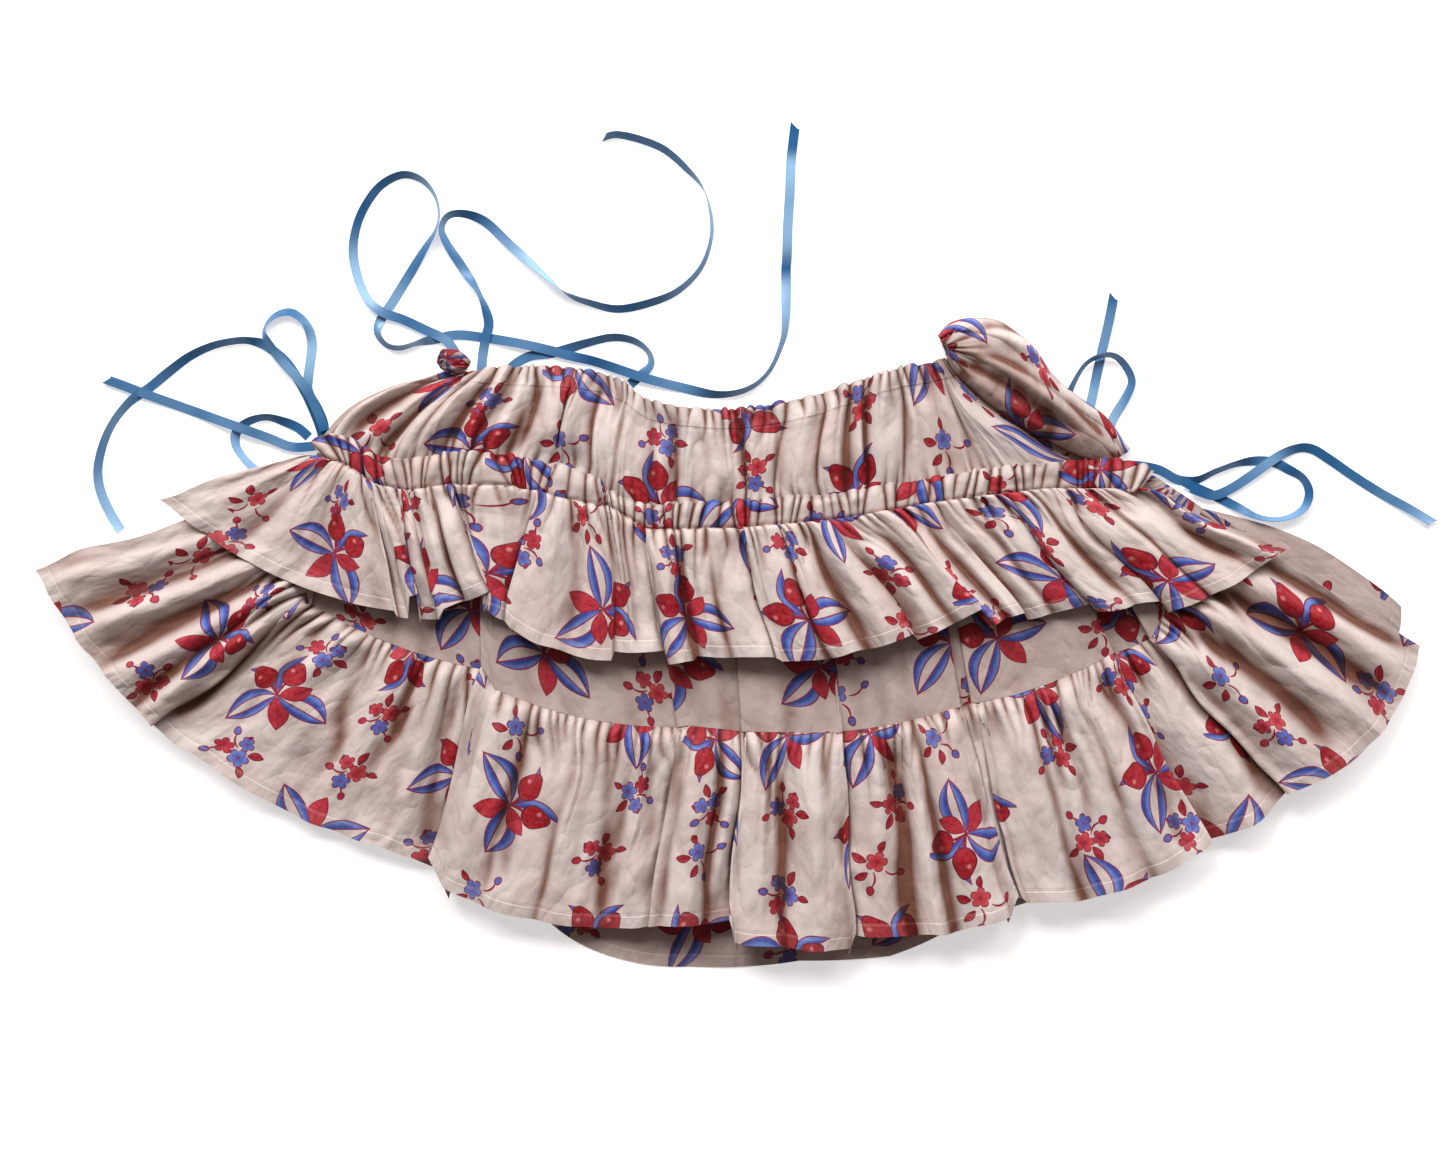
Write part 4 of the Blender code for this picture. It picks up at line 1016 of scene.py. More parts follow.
def panel(sections, height_rows, style, seed, calm=None, creases=(), top_gap=0.0, low_gap=0.0):
    """Points in millimetres, rows from the low edge up, with their place in the flat cloth and their distance
    from the low and the upper edge."""
    columns = columns_across(sections, style.spacing, calm or {})
    top, low = columns[:, 0:2], columns[:, 2:4]
    bow, level, wave, height, lean, begins, ends, hidden = columns[:, 4:12].T
    way = low - top
    length = np.maximum(np.hypot(way[:, 0], way[:, 1]), 1.0)
    down_x, down_y = (way / length[:, None]).T
    shares = np.concatenate([TOP_ROWS, np.linspace(*BODY_ROWS, style.rows), LOW_ROWS])
    share = lerp(top_gap / length[None, :], 1 - low_gap / length[None, :], shares[:, None])
    bend = bow * 4 * share * (1 - share)
    x = top[:, 0] + way[:, 0] * share - bend * way[:, 1] / length
    y = top[:, 1] + way[:, 1] * share + bend * way[:, 0] / length
    laid, fold, overlap = [soft_rows(height_rows, shares, i)[:, None] for i in (1, 2, 3)]
    grows = smooth((share - begins + FOLD_EARLY) / FOLD_RISE) * (1 - smooth((share - ends) / FOLD_FALL))
    ridge = fold * wave * height * grows
    z = laid + overlap * level + ridge

    seam_way = top[:, 0]
    if not style.shared:
        seam_way = np.concatenate([[0], np.cumsum(np.hypot(*np.diff(top, axis=0).T))])
    down = np.maximum(share * length, 0)
    from_low = (1 - share) * length
    up = np.maximum(from_low, 0)
    # The third value is painted shade that darkens the valleys between the puckers
    small, near, painted_valleys = seam_pleats(seam_way, down, np.minimum(down, PLEAT_LEANS_FOR), seed, style)
    z = z + style.pucker * small * lerp(PLEAT_AT_SEAM, 1, smooth(down / PLEAT_OPENS_OVER)) * near
    if style.low_pucker:
        low_small, low_near, low_painted_valleys = seam_pleats(low[:, 0], up, up * 0, RUFFLE_LINE, style)
        z = z + style.low_pucker * low_small * low_near
        painted_valleys = painted_valleys + low_painted_valleys

    calm_ends = np.minimum(1, np.minimum(shares, 1 - shares) * WANDER_GROWS)[:, None]
    stray = noise_field(x, y, *WANDER_SIZE, seed + 0.3) * style.wander * calm_ends
    aside = style.lean * lean * ridge + stray
    x = x - down_y * aside
    y = y + down_x * aside
    z = z + crease_height(creases, x, y)

    measured = arc(np.stack([x, y, z], axis=2))[int(len(shares) * CUT_MEASURED_AT)]
    cut_u = np.broadcast_to((measured + np.cumsum(hidden))[None, :], x.shape)
    cut_v = np.broadcast_to((shares * np.median(length))[:, None], x.shape)
    z = z + crumpled(cut_u, cut_v, seed) * style.crumple
    slide = share ** 3 * (noise_field(cut_u, cut_v * 0, HEM_WAVE, 1, seed + 2.1) * style.hem)
    slide = slide - style.scallop * (small - SCALLOP_LEVEL) * fading(down, SCALLOP_REACH)
    z = z - style.dimple * fading(up, DIMPLE_REACH)
    return {
        "points": np.stack([x + down_x * slide, y + down_y * slide, z], axis=2)[::-1],
        "cut": np.stack([cut_u, -cut_v], axis=2)[::-1] * MM,
        "edges": np.stack([from_low, down], axis=2)[::-1] * MM,
        "shade": min(style.pucker / FULL_PUCKER, 1) * VALLEY_SHADE * painted_valleys[::-1],
    }


print("rows beside the edges:", len(TOP_ROWS), "and", len(LOW_ROWS))

# %% [markdown]
# ## Laying and sewing the cloth
# A finished panel is lifted softly wherever it would touch what lies under it, and the edge below a seam is
# brought to the edge above. Then it becomes a mesh with a wall and stands for its solid. Light hardly
# reaches the bottom of a narrow fold, so each point's depth in its fold, with the panel's own painted shade,
# is kept for the material, which paints shade into the cloth's colour there.

# %% Lay and sew
CLOTH = 0.4
LOWEST = 0.02
SEAM_DROP = 0.3
SEAM_SHIFT = 6
FROM_ABOVE = 1.0
FINE_HOLLOW = 1.2
BROAD_HOLLOW = 3.2


def meet(upper, lower, reach):
    """Moves a lower panel's top edge onto the upper panel's low edge, fading out below the seam."""
    edge = upper["points"][0]
    starts, runs = edge[:-1], np.diff(edge, axis=0)
    squares = np.maximum((runs[:, :2] ** 2).sum(axis=1), 1e-9)
    shifts = []
    for point in lower["points"][-1]:
        away = point[:2] - starts[:, :2]
        along = np.clip((away * runs[:, :2]).sum(axis=1) / squares, 0, 1)
        near = starts + runs * along[:, None]
        best = near[np.argmin(((near[:, :2] - point[:2]) ** 2).sum(axis=1))]
        shifts.append(best + [0, -SEAM_DROP, 0] - point)
    shifts = np.array(shifts)
    shifts[:, :2] = np.clip(shifts[:, :2], -SEAM_SHIFT, SEAM_SHIFT)
    fade = fading(lower["edges"][:, :, 1] / MM, reach)
    lower["points"] = lower["points"] + shifts[None, :, :] * fade[:, :, None]


def padded(field, axis, reach):
    """The field with its edge values repeated at both ends of one axis."""
    return np.pad(field, [(reach, reach) if a == axis else (0, 0) for a in (0, 1)], mode="edge")


def spread(field, across, down):
    """The highest value within this many columns and rows, then softened over the same reach."""
    for soften in (False, True):
        for axis, reach in ((1, across), (0, down)):
            count = field.shape[axis]
            for _ in range(reach):
                wide = padded(field, axis, 1)
                before, after = np.take(wide, range(count), axis), np.take(wide, range(2, count + 2), axis)
                highest = np.maximum(field, np.maximum(before, after))
                field = (field + before + after) / 3 if soften else highest
    return field


def softened(field, across, down):
    """The field averaged over this many columns and rows each way."""
    for axis, reach in ((1, across), (0, down)):
        kernel = np.ones(2 * reach + 1) / (2 * reach + 1)
        field = np.apply_along_axis(np.convolve, axis, padded(field, axis, reach), kernel, "valid")
    return field


def lay_over(made, trees, gap, across=9, down=3):
    """Lifts a panel softly wherever it would touch the cloth under it."""
    points = made["points"]
    need = np.full(points.shape[:2], -1.0)
    for r, c in np.ndindex(*need.shape):
        start = Vector((points[r, c, 0] * MM, points[r, c, 1] * MM, FROM_ABOVE))
        for tree in trees:
            place = tree.ray_cast(start, Vector((0, 0, -1)))[0]
            if place is not None:
                need[r, c] = max(need[r, c], place.z / MM)
    lift = np.maximum(need + gap - points[:, :, 2], 0)
    points[:, :, 2] = np.maximum(points[:, :, 2] + spread(lift, across, down), LOWEST)
    print("   lifted by up to", round(float(lift.max()), 1), "mm, mean", round(float(lift.mean()), 2))


def hollows(z):
    """How deep each point lies in its fold, from 0 on a ridge to 1 at the bottom of a deep fold, for painted
    shade.
    """
    fine = softened(z, 5, 1) - z
    broad = softened(z, 14, 3) - z
    deep = np.clip(fine / FINE_HOLLOW, 0, 1) * 0.6 + np.clip(broad / BROAD_HOLLOW, 0, 1) * 0.4
    return softened(np.clip(deep, 0, 1), 1, 1)


def sew(node, made, finish, flat):
    """Turns a panel into a piece of cloth that stands for its node."""
    high = made["points"][:, :, 2]
    # Painted shade: each point's depth in its fold plus the panel's own painted shade, which darkens the
    # colour
    deep = np.clip(hollows(high) + made["shade"], 0, 1)
    mesh = grid_mesh(
        node + "_cloth", made["points"] * MM,
        cut=made["cut"], edges=made["edges"], hollow=np.stack([deep, deep], axis=2),
    )
    piece = place_piece(node + "_cloth", mesh, finish, node)
    add_wall(piece, CLOTH, 1.0)
    area = sum(face.area for face in mesh.polygons)
    print(node, "area", round(area, 4), "m2 of", round(flat[0] * flat[1], 4), "faces", len(mesh.polygons),
          "highest", round(float(high.max()), 1), "mm")
    return piece


def tree_of(*pieces):
    """Each piece's faces, ready to be looked down on."""
    trees = []
    for piece in pieces:
        work = bmesh.new()
        work.from_mesh(piece.data)
        trees.append(BVHTree.FromBMesh(work))
        work.free()
    return trees


print("cloth is", CLOTH, "mm thick")

# %% [markdown]
# ## Shapes for the print
# The cotton carries a tossed flower print. Its shapes are drawn by formula on the flat cloth, in
# millimetres: a leaf is a lens along a bent line, a bud is an oval, and a blossom is a circle whose radius
# swells five times. Each group gives a fill and an outline, so the screen printed look of a dark line round
# every shape is kept.

# %% Print shapes
LINE_WIDTH = 0.36
FILL_BLUR = 0.12
LINE_BLUR = 0.16
LEAF_VEIN = (0.12, 0.4)
LEAF_SHADE = (-1.2, 1.6)
LEAF_TIP = -0.06
BUD_LONG = 0.78
BUD_TAPER = (-2.0, 7.0, 0.94, 1.32)
BUD_SHINE_AT = (1.6, 2.4)
BUD_SHINE_EDGE = (0.5, 1.7)
BUD_PETAL_BEND = 0.05
BUD_PETAL_LINE = (0.2, 0.55)
PETALS = 5
PETAL_DEPTH = 0.46
PETAL_ROUND = 0.55
EYE_EDGE = (0.13, 0.26)


def edge_masks(tree, distance):
    """Fill and outline masks from a distance to a shape's edge, negative inside."""
    fill = ramp(tree, distance, -FILL_BLUR, FILL_BLUR, 1.0, 0.0)
    line = ramp(tree, without_sign(tree, distance), LINE_WIDTH - LINE_BLUR, LINE_WIDTH + LINE_BLUR, 1.0, 0.0)
    return fill, line


def local_place(tree, given, origin):
    """The place as seen from a shape's own origin and turned to its own direction."""
    moved = vector(tree, "SUBTRACT", given["Place"], given[origin])
    return turned(tree, moved, times(tree, given["Angle"], -1.0))


def leaf_group():
    tree, given, out = new_group(
        "print leaf",
        {"Place": HERE, "Base": HERE, "Angle": 0.0, "Length": 20.0, "Width": 8.0, "Bend": 0.0},
        "Fill", "Line", "Vein", "Side",
    )
    x, y, _ = split(tree, local_place(tree, given, "Base"))
    along = number(tree, "DIVIDE", x, given["Length"])
    hump = times(tree, times(tree, along, less(tree, 1.0, along)), 4.0)
    aside = less(tree, y, times(tree, given["Bend"], hump))
    half = times(tree, given["Width"], times(tree, hump, 0.5))
    from_vein = without_sign(tree, aside)
    fill, line = edge_masks(tree, less(tree, from_vein, half))
    inside = number(tree, "GREATER_THAN", hump, LEAF_TIP)
    vein = times(tree, ramp(tree, from_vein, *LEAF_VEIN, 1.0, 0.0), fill)
    side = ramp(tree, aside, *LEAF_SHADE)
    feed_all(tree, out, Fill=fill, Line=times(tree, line, inside), Vein=vein, Side=side)
    return tree


def bud_group():
    tree, given, out = new_group(
        "print bud", {"Place": HERE, "Centre": HERE, "Angle": 0.0, "Radius": 7.0},
        "Fill", "Line", "Shine", "Petal",
    )
    x, y, _ = split(tree, local_place(tree, given, "Centre"))
    point = times(tree, without_sign(tree, y), ramp(tree, x, *BUD_TAPER))
    away = vector(tree, "LENGTH", joined(tree, times(tree, x, BUD_LONG), point))
    fill, line = edge_masks(tree, less(tree, away, given["Radius"]))
    spot = joined(tree, less(tree, x, BUD_SHINE_AT[0]), less(tree, y, BUD_SHINE_AT[1]))
    shine = ramp(tree, vector(tree, "LENGTH", spot), *BUD_SHINE_EDGE, 1.0, 0.0)
    fold = less(tree, y, times(tree, times(tree, x, x), BUD_PETAL_BEND))
    petal = ramp(tree, without_sign(tree, plus(tree, fold, 0.6)), *BUD_PETAL_LINE, 1.0, 0.0)
    petal = times(tree, times(tree, petal, fill), ramp(tree, x, -2, 2))
    feed_all(tree, out, Fill=fill, Line=line, Shine=shine, Petal=petal)
    return tree


def blossom_group():
    tree, given, out = new_group(
        "print blossom", {"Place": HERE, "Centre": HERE, "Angle": 0.0, "Radius": 6.0},
        "Fill", "Line", "Eye", "Side",
    )
    x, y, _ = split(tree, local_place(tree, given, "Centre"))
    away = vector(tree, "LENGTH", joined(tree, x, y))
    turn = times(tree, number(tree, "ARCTAN2", y, x), PETALS / 2)
    lobe = number(tree, "POWER", without_sign(tree, number(tree, "COSINE", turn)), PETAL_ROUND)
    reach = times(tree, given["Radius"], number(tree, "MULTIPLY_ADD", lobe, PETAL_DEPTH, 1 - PETAL_DEPTH))
    fill, line = edge_masks(tree, less(tree, away, reach))
    ray = times(tree, ramp(tree, lobe, 0.25, 0.5, 1.0, 0.0), fill)
    eye_edge = [times(tree, given["Radius"], share) for share in EYE_EDGE]
    eye = ramp(tree, away, *eye_edge, 1.0, 0.0)
    eye = number(tree, "MAXIMUM", eye, times(tree, ray, 0.75))
    feed_all(tree, out, Fill=fill, Line=line, Eye=eye, Side=ramp(tree, away, 1.0, 5.0))
    return tree


LEAF = leaf_group()
BUD = bud_group()
BLOSSOM = blossom_group()
print("print shapes:", LEAF.name, BUD.name, BLOSSOM.name)

# %% [markdown]
# ## The two sprays
# A large spray is two crimson buds with long bent blue leaves and coral ones. A small spray is one or two
# blossoms, blue or coral, with small leaves. Each group paints its shapes one over another and gives a
# colour and the area that it covers. A large spray is drawn about 50 mm across, and the layout below makes
# it a quarter larger, as on the cloth.

# %% Sprays
CRIMSON = colour("A8001A")
CRIMSON_DARK = colour("6C0526")
CORAL = colour("BC2436")
CORAL_DARK = colour("920F30")
CORAL_PALE = colour("CC4A50")
BLUE = colour("5468BC")
BLUE_PALE = colour("6A82CE")
BLUE_DEEP = colour("3049A4")
BERRY_LINE = colour("8A1646")
BUD_SHINE = colour("F2A3A0")
CORAL_SHARE = 0.42
SINGLE_SHARE = 0.25

# Large leaves: base, angle, length, width, bend, and whether it is coral. Small ones have one bend in
# common. Stems: base, angle, length and bend. Buds: centre, angle and radius.
LARGE_LEAVES = [
    ((1, 1), 98, 20, 10.0, 1.5, True), ((0, 0), 150, 29, 5.6, 8, False), ((0, 0), 150, 29, 5.0, -2.5, False),
    ((0, 0), 30, 31, 5.6, -8.5, False), ((0, 0), 30, 31, 5.0, 2.5, False), ((-1, 0), 206, 16, 8.5, -1, True),
    ((0, -1), 250, 28, 6.0, 5, False), ((1, -1), 322, 25, 6.0, -4, False),
]
LARGE_BUDS = [((10.5, -11.5), -42, 6.3), ((-6.0, -14.5), -108, 5.9)]
LARGE_STEMS = [((0, 0), -48, 10, -0.8), ((0, 0), -112, 10, 0.8)]
SMALL_LEAVES = [((-3, -4), 232, 9.0, 4.2), ((3, -4), 290, 8.0, 3.8), ((-7, 3), 160, 7.0, 3.2)]
SMALL_BEND = 0.6
SMALL_STEMS = [((3, -1), -18, 9.0, 1.6), ((3, 5), 74, 9.0, -1.6)]
SMALL_BUDS = [((13.2, -4.4), -26, 1.9), ((6.0, 15.2), 80, 1.7)]


def shape_over(tree, painted, shape, low, high, line_colour, mark=None):
    """Paints one shape over what is there: painted is a colour and its cover."""
    base, cover = painted
    made = shape.outputs
    inside = blend(tree, made["Side"], low, high) if "Side" in made else low
    if mark:
        inside = blend(tree, times(tree, made[mark], 0.8), inside, line_colour)
    base = blend(tree, made["Fill"], base, inside)
    base = blend(tree, made["Line"], base, line_colour)
    return base, number(tree, "MAXIMUM", cover, number(tree, "MAXIMUM", made["Fill"], made["Line"]))


def leaf_over(tree, painted, place, base, angle, length, width, bend, *paint):
    shape = use(
        tree, LEAF, Place=place, Base=(*base, 0), Angle=math.radians(angle),
        Length=length, Width=width, Bend=bend,
    )
    return shape_over(tree, painted, shape, *paint)


def stems_over(tree, painted, place, stems, width, *paint):
    for base, angle, length, bend in stems:
        painted = leaf_over(tree, painted, place, base, angle, length, width, bend, *paint)
    return painted


def bud_at(tree, place, centre, angle, radius):
    return use(tree, BUD, Place=place, Centre=(*centre, 0), Angle=math.radians(angle), Radius=radius)


def large_spray_group():
    tree, given, out = new_group("large spray", {"Place": HERE}, "Colour", "Cover")
    place = given["Place"]
    painted = (CRIMSON, 0.0)
    for *leaf, coral in LARGE_LEAVES:
        paint = (CORAL, CORAL, CORAL_DARK, "Vein") if coral else (BLUE_DEEP, BLUE_PALE, BERRY_LINE)
        painted = leaf_over(tree, painted, place, *leaf, *paint)
    painted = stems_over(tree, painted, place, LARGE_STEMS, 0.9, CRIMSON, CRIMSON, CORAL_DARK)
    for centre, angle, radius in LARGE_BUDS:
        bud = bud_at(tree, place, centre, angle, radius)
        base, cover = shape_over(tree, painted, bud, CRIMSON, CRIMSON, CRIMSON_DARK, "Petal")
        shine = times(tree, times(tree, bud.outputs["Shine"], bud.outputs["Fill"]), 0.6)
        painted = (blend(tree, shine, base, BUD_SHINE), cover)
    feed_all(tree, out, Colour=painted[0], Cover=painted[1])
    return tree


def small_spray_group():
    tree, given, out = new_group("small spray", {"Place": HERE, "Kind": 0.5, "Pair": 0.5}, "Colour", "Cover")
    place = given["Place"]
    painted = stems_over(tree, (CORAL, 0.0), place, SMALL_STEMS, 0.5, CORAL_DARK, CORAL_DARK, CORAL_DARK)
    paint = (CRIMSON, CORAL, CRIMSON_DARK, "Vein")
    for base, angle, length, width in SMALL_LEAVES:
        painted = leaf_over(tree, painted, place, base, angle, length, width, SMALL_BEND, *paint)
    blue_first = number(tree, "GREATER_THAN", given["Kind"], CORAL_SHARE)
    first_low = blend(tree, blue_first, CORAL, BLUE)
    first_high = blend(tree, blue_first, CORAL_PALE, BLUE_PALE)
    second = blend(tree, blue_first, BLUE, CORAL)
    line = blend(tree, blue_first, CORAL_DARK, BERRY_LINE)
    for centre, angle, radius in SMALL_BUDS:
        bud = bud_at(tree, place, centre, angle, radius)
        painted = shape_over(tree, painted, bud, first_low, first_high, BERRY_LINE)
    pair = number(tree, "GREATER_THAN", given["Pair"], SINGLE_SHARE)
    before = painted
    for centre, angle, radius, low, high in (
        ((6.4, 5.2), 0.7, 5.0, second, second), ((3.2, -6.6), 1.1, 4.4, first_low, first_high),
    ):
        blossom = use(tree, BLOSSOM, Place=place, Centre=(*centre, 0), Angle=angle, Radius=radius)
        painted = shape_over(tree, painted, blossom, low, high, BERRY_LINE, "Eye")
    painted = (
        blend(tree, pair, before[0], painted[0]),
        number(tree, "MAXIMUM", before[1], times(tree, painted[1], pair)),
    )
    first = use(tree, BLOSSOM, Place=place, Centre=(-2.6, 1.0, 0), Angle=0.2, Radius=5.4)
    painted = shape_over(tree, painted, first, first_low, first_high, line, "Eye")
    feed_all(tree, out, Colour=painted[0], Cover=painted[1])
    return tree


LARGE = large_spray_group()
SMALL = small_spray_group()
print("large spray nodes:", len(LARGE.nodes), "small spray nodes:", len(SMALL.nodes))

# %% [markdown]
# ## Tossing the sprays over the cloth
# The printed repeat is a half drop: every second column is moved down by half a repeat. Each spray is
# nudged and turned by its own cell's number, so the cloth looks tossed and not ruled. Two small sprays lie
# between the large ones of a column.

# %% Print layout
COLUMN = 74.0
REPEAT = 148.0
SMALL_STEP = 52.0
LARGE_SCALE = 1.25
SMALL_SCALE = 1.2
LARGE_NUDGE = 7.0
SMALL_NUDGE = 9.0


def toss(tree, place, cell, nudge):
    """Moves and turns a place by amounts that belong to its cell, and gives two spare numbers from 0 to 1."""
    chance = tree.nodes.new("ShaderNodeTexWhiteNoise")
    chance.noise_dimensions = "3D"
    feed_all(tree, chance, Vector=cell)
    shifted = vector(tree, "SUBTRACT", chance.outputs["Color"], (0.5, 0.5, 0.5))
    moved = vector(tree, "SUBTRACT", place, vector(tree, "MULTIPLY", shifted, (2 * nudge, 2 * nudge, 0)))
    first, _, last = split(tree, chance.outputs["Color"])
    return turned(tree, moved, times(tree, chance.outputs["Value"], 2 * math.pi)), last, first


def print_group():
    tree, given, out = new_group("tossed print", {"Place": HERE}, "Colour", "Cover")
    x, y, _ = split(tree, given["Place"])
    column = number(tree, "FLOOR", number(tree, "DIVIDE", x, COLUMN))
    from_middle = less(tree, x, times(tree, plus(tree, column, 0.5), COLUMN))
    dropped = times(tree, number(tree, "FLOORED_MODULO", column, 2.0), REPEAT / 2)
    fallen = number(tree, "DIVIDE", plus(tree, y, dropped), REPEAT)
    row = number(tree, "FLOOR", plus(tree, fallen, 0.5))
    below = times(tree, less(tree, fallen, row), REPEAT)
    large_place, _, _ = toss(tree, joined(tree, from_middle, below), joined(tree, column, row), LARGE_NUDGE)
    large = use(tree, LARGE, Place=vector(tree, "DIVIDE", large_place, (LARGE_SCALE, LARGE_SCALE, 1))).outputs
    side = number(tree, "SIGN", below)
    off = times(tree, less(tree, without_sign(tree, below), SMALL_STEP), side)
    small_row = number(tree, "MULTIPLY_ADD", side, 0.25, plus(tree, row, 0.5))
    cell = joined(tree, plus(tree, column, 0.5), small_row)
    small_place, kind, pair = toss(tree, joined(tree, from_middle, off), cell, SMALL_NUDGE)
    small_place = vector(tree, "DIVIDE", small_place, (SMALL_SCALE, SMALL_SCALE, 1))
    small = use(tree, SMALL, Place=small_place, Kind=kind, Pair=pair).outputs
    feed_all(
        tree, out, Colour=blend(tree, large["Cover"], small["Colour"], large["Colour"]),
        Cover=number(tree, "MAXIMUM", large["Cover"], small["Cover"]),
    )
    return tree


PRINT = print_group()
print("print repeats every", 2 * COLUMN, "by", REPEAT, "mm")

# %% [markdown]
# ## Cotton
# The cotton is a light plain weave with a faint polish from pressing. The print sits on its warm cream
# ground, softened a little by the threads, and the cloth keeps shallow facets from being folded and worn.
# The hem is turned up twice and stitched 8.5 mm from the edge, so the stitch line and the doubled edge are
# drawn from each point's distance to the hem. Deep in the folds the colour is darkened and warmed by painted
# shade, which stands in for light there that has passed from cloth to cloth.

# %% Cotton material
GROUND = colour("E1D3CF")
GROUND_WARM = colour("DBC8C2")
THREAD = colour("B98F86")
HEM_STITCH = 8.5
WAIST_STITCH = 15.0
STITCH_LENGTH = 2.6
WARP_PITCH = 0.42
WEFT_PITCH = 0.46
# Painted shade: the warm dark tint and the strength with which it darkens the colour deep in folds
PAINTED_SHADE_TINT = colour("8A6152")
HOLLOW_SHADE = 1.15
CREASE_NOISE = ((0.026, 9.0), (0.055, 4.2))
CRUMPLE_HEIGHT = 2.8
WASHED_MOST = 0.03
COTTON_ROUGHNESS = (0.5, 0.62)


def weave_group():
    tree, given, out = new_group("plain weave", {"Place": HERE}, "Height", "Tone")
    x, y, _ = split(tree, given["Place"])
    warp = number(tree, "SINE", times(tree, x, 2 * math.pi / WARP_PITCH))
    weft = number(tree, "SINE", times(tree, y, 2 * math.pi / WEFT_PITCH))
    slubs = plus(tree, *[
        grain(tree, vector(tree, "MULTIPLY", given["Place"], drawn_out), 1.0, 1.0)
        for drawn_out in ((2.4, 0.09, 1), (0.09, 2.2, 1))
    ])
    height = number(tree, "MULTIPLY_ADD", slubs, 0.8, times(tree, times(tree, warp, weft), 0.35))
    feed_all(tree, out, Height=height, Tone=ramp(tree, slubs, 0.75, 1.25))
    return tree


def hem_group():
    tree, given, out = new_group(
        "stitched hem", {"Along": 0.0, "From Edge": 100.0, "Line": HEM_STITCH}, "Stitch", "Height", "Doubled"
    )
    past_line = less(tree, given["From Edge"], given["Line"])
    from_line = without_sign(tree, past_line)
    dashes = ramp(tree, number(tree, "PINGPONG", given["Along"], STITCH_LENGTH / 2), 0.12, 0.4)
    stitch = times(tree, ramp(tree, from_line, 0.15, 0.45, 0.6, 0.0), dashes)
    doubled = ramp(tree, past_line, 0.4, 1.2, 1.0, 0.0)
    groove = ramp(tree, from_line, 0.2, 1.6, 1.0, 0.0)
    pucker = grain(tree, joined(tree, given["Along"], times(tree, given["From Edge"], 0.35)), 0.22, 1.5)
    near = ramp(tree, past_line, 0.0, 7.0, 1.0, 0.0)
    height = number(tree, "MULTIPLY_ADD", groove, -0.55, times(tree, doubled, 0.5))
    height = number(tree, "MULTIPLY_ADD", times(tree, pucker, near), 0.9, height)
    feed_all(tree, out, Stitch=stitch, Height=height, Doubled=doubled)
    return tree


WEAVE = weave_group()
HEM = hem_group()


def cotton_material(name, edge=None, line=HEM_STITCH, thread=0.75):
    """The printed cotton, with a stitch line this far from its low edge (0) or its upper one (1)."""
    made, tree, shader = new_material(name)
    place = vector(tree, "SCALE", uv_of(tree, "cut"), Scale=1 / MM)
    weave = use(tree, WEAVE, Place=place).outputs
    printed = use(tree, PRINT, Place=place).outputs
    ground = blend(tree, ramp(tree, grain(tree, place, 0.018, 3.0, 0.6), 0.35, 0.65), GROUND, GROUND_WARM)
    washed = ramp(tree, grain(tree, place, 0.35, 2.0), 0.3, 0.7, 0.0, WASHED_MOST)
    ink = blend(tree, washed, printed["Colour"], WHITE)
    base = blend(tree, printed["Cover"], ground, ink)
    base = vector(tree, "SCALE", base, Scale=ramp(tree, weave["Tone"], 0, 1, 1.0, 0.95))
    crumple = grain(tree, vector(tree, "MULTIPLY", place, (1.0, 0.45, 1.0)), 0.075, 3.0, 0.55)
    height = times(tree, crumple, CRUMPLE_HEIGHT)
    for scale, tall in CREASE_NOISE:
        crease = grain(tree, vector(tree, "MULTIPLY", place, (1.0, 0.7, 1.0)), scale, 1.6, 0.45)
        height = number(tree, "MULTIPLY_ADD", without_sign(tree, less(tree, crease, 0.5)), tall, height)
    if edge is not None:
        from_edge = times(tree, split(tree, uv_of(tree, "edges"))[edge], 1 / MM)
        hem = use(tree, HEM, Along=split(tree, place)[0], From_Edge=from_edge, Line=line).outputs
        base = blend(tree, times(tree, hem["Stitch"], thread), base, THREAD)
        base = blend(tree, times(tree, hem["Doubled"], 0.03), base, WHITE)
        height = plus(tree, height, hem["Height"])
    # Painted shade: the colour is darkened and warmed by each point's painted shade map
    deep = number(tree, "MULTIPLY", split(tree, uv_of(tree, "hollow"))[0], HOLLOW_SHADE, clamp=True)
    base = vector(tree, "MULTIPLY", base, blend(tree, deep, WHITE, PAINTED_SHADE_TINT))
    coarse = bump(tree, height, 0.8, 0.9)
    feed_all(
        tree, shader, Base_Color=base, Roughness=ramp(tree, weave["Tone"], 0, 1, *COTTON_ROUGHNESS),
        Normal=bump(tree, weave["Height"], 0.35, 0.04, Normal=coarse),
        Specular_IOR_Level=0.3, Sheen_Weight=0.02, Sheen_Roughness=0.4,
    )
    return made


cotton = cotton_material("printed_cotton_plain")
cotton_hemmed = cotton_material("printed_cotton_hemmed", 0)
cotton_waist = cotton_material("printed_cotton_waist", 1, WAIST_STITCH, 0.3)
print("cotton nodes:", len(cotton_hemmed.node_tree.nodes))

# %% [markdown]
# ## Back panels
# The back of the skirt lies flat on the table under the front. Its cloth is plain and calm, because the
# weight of the front presses it smooth, and only its hems show below the front ones.

# %% Back panels
FLAT_STYLE = Style(14, 2.5, 0.2, 0.5, 18, (8, 14), 0, 0.12, 2.0)
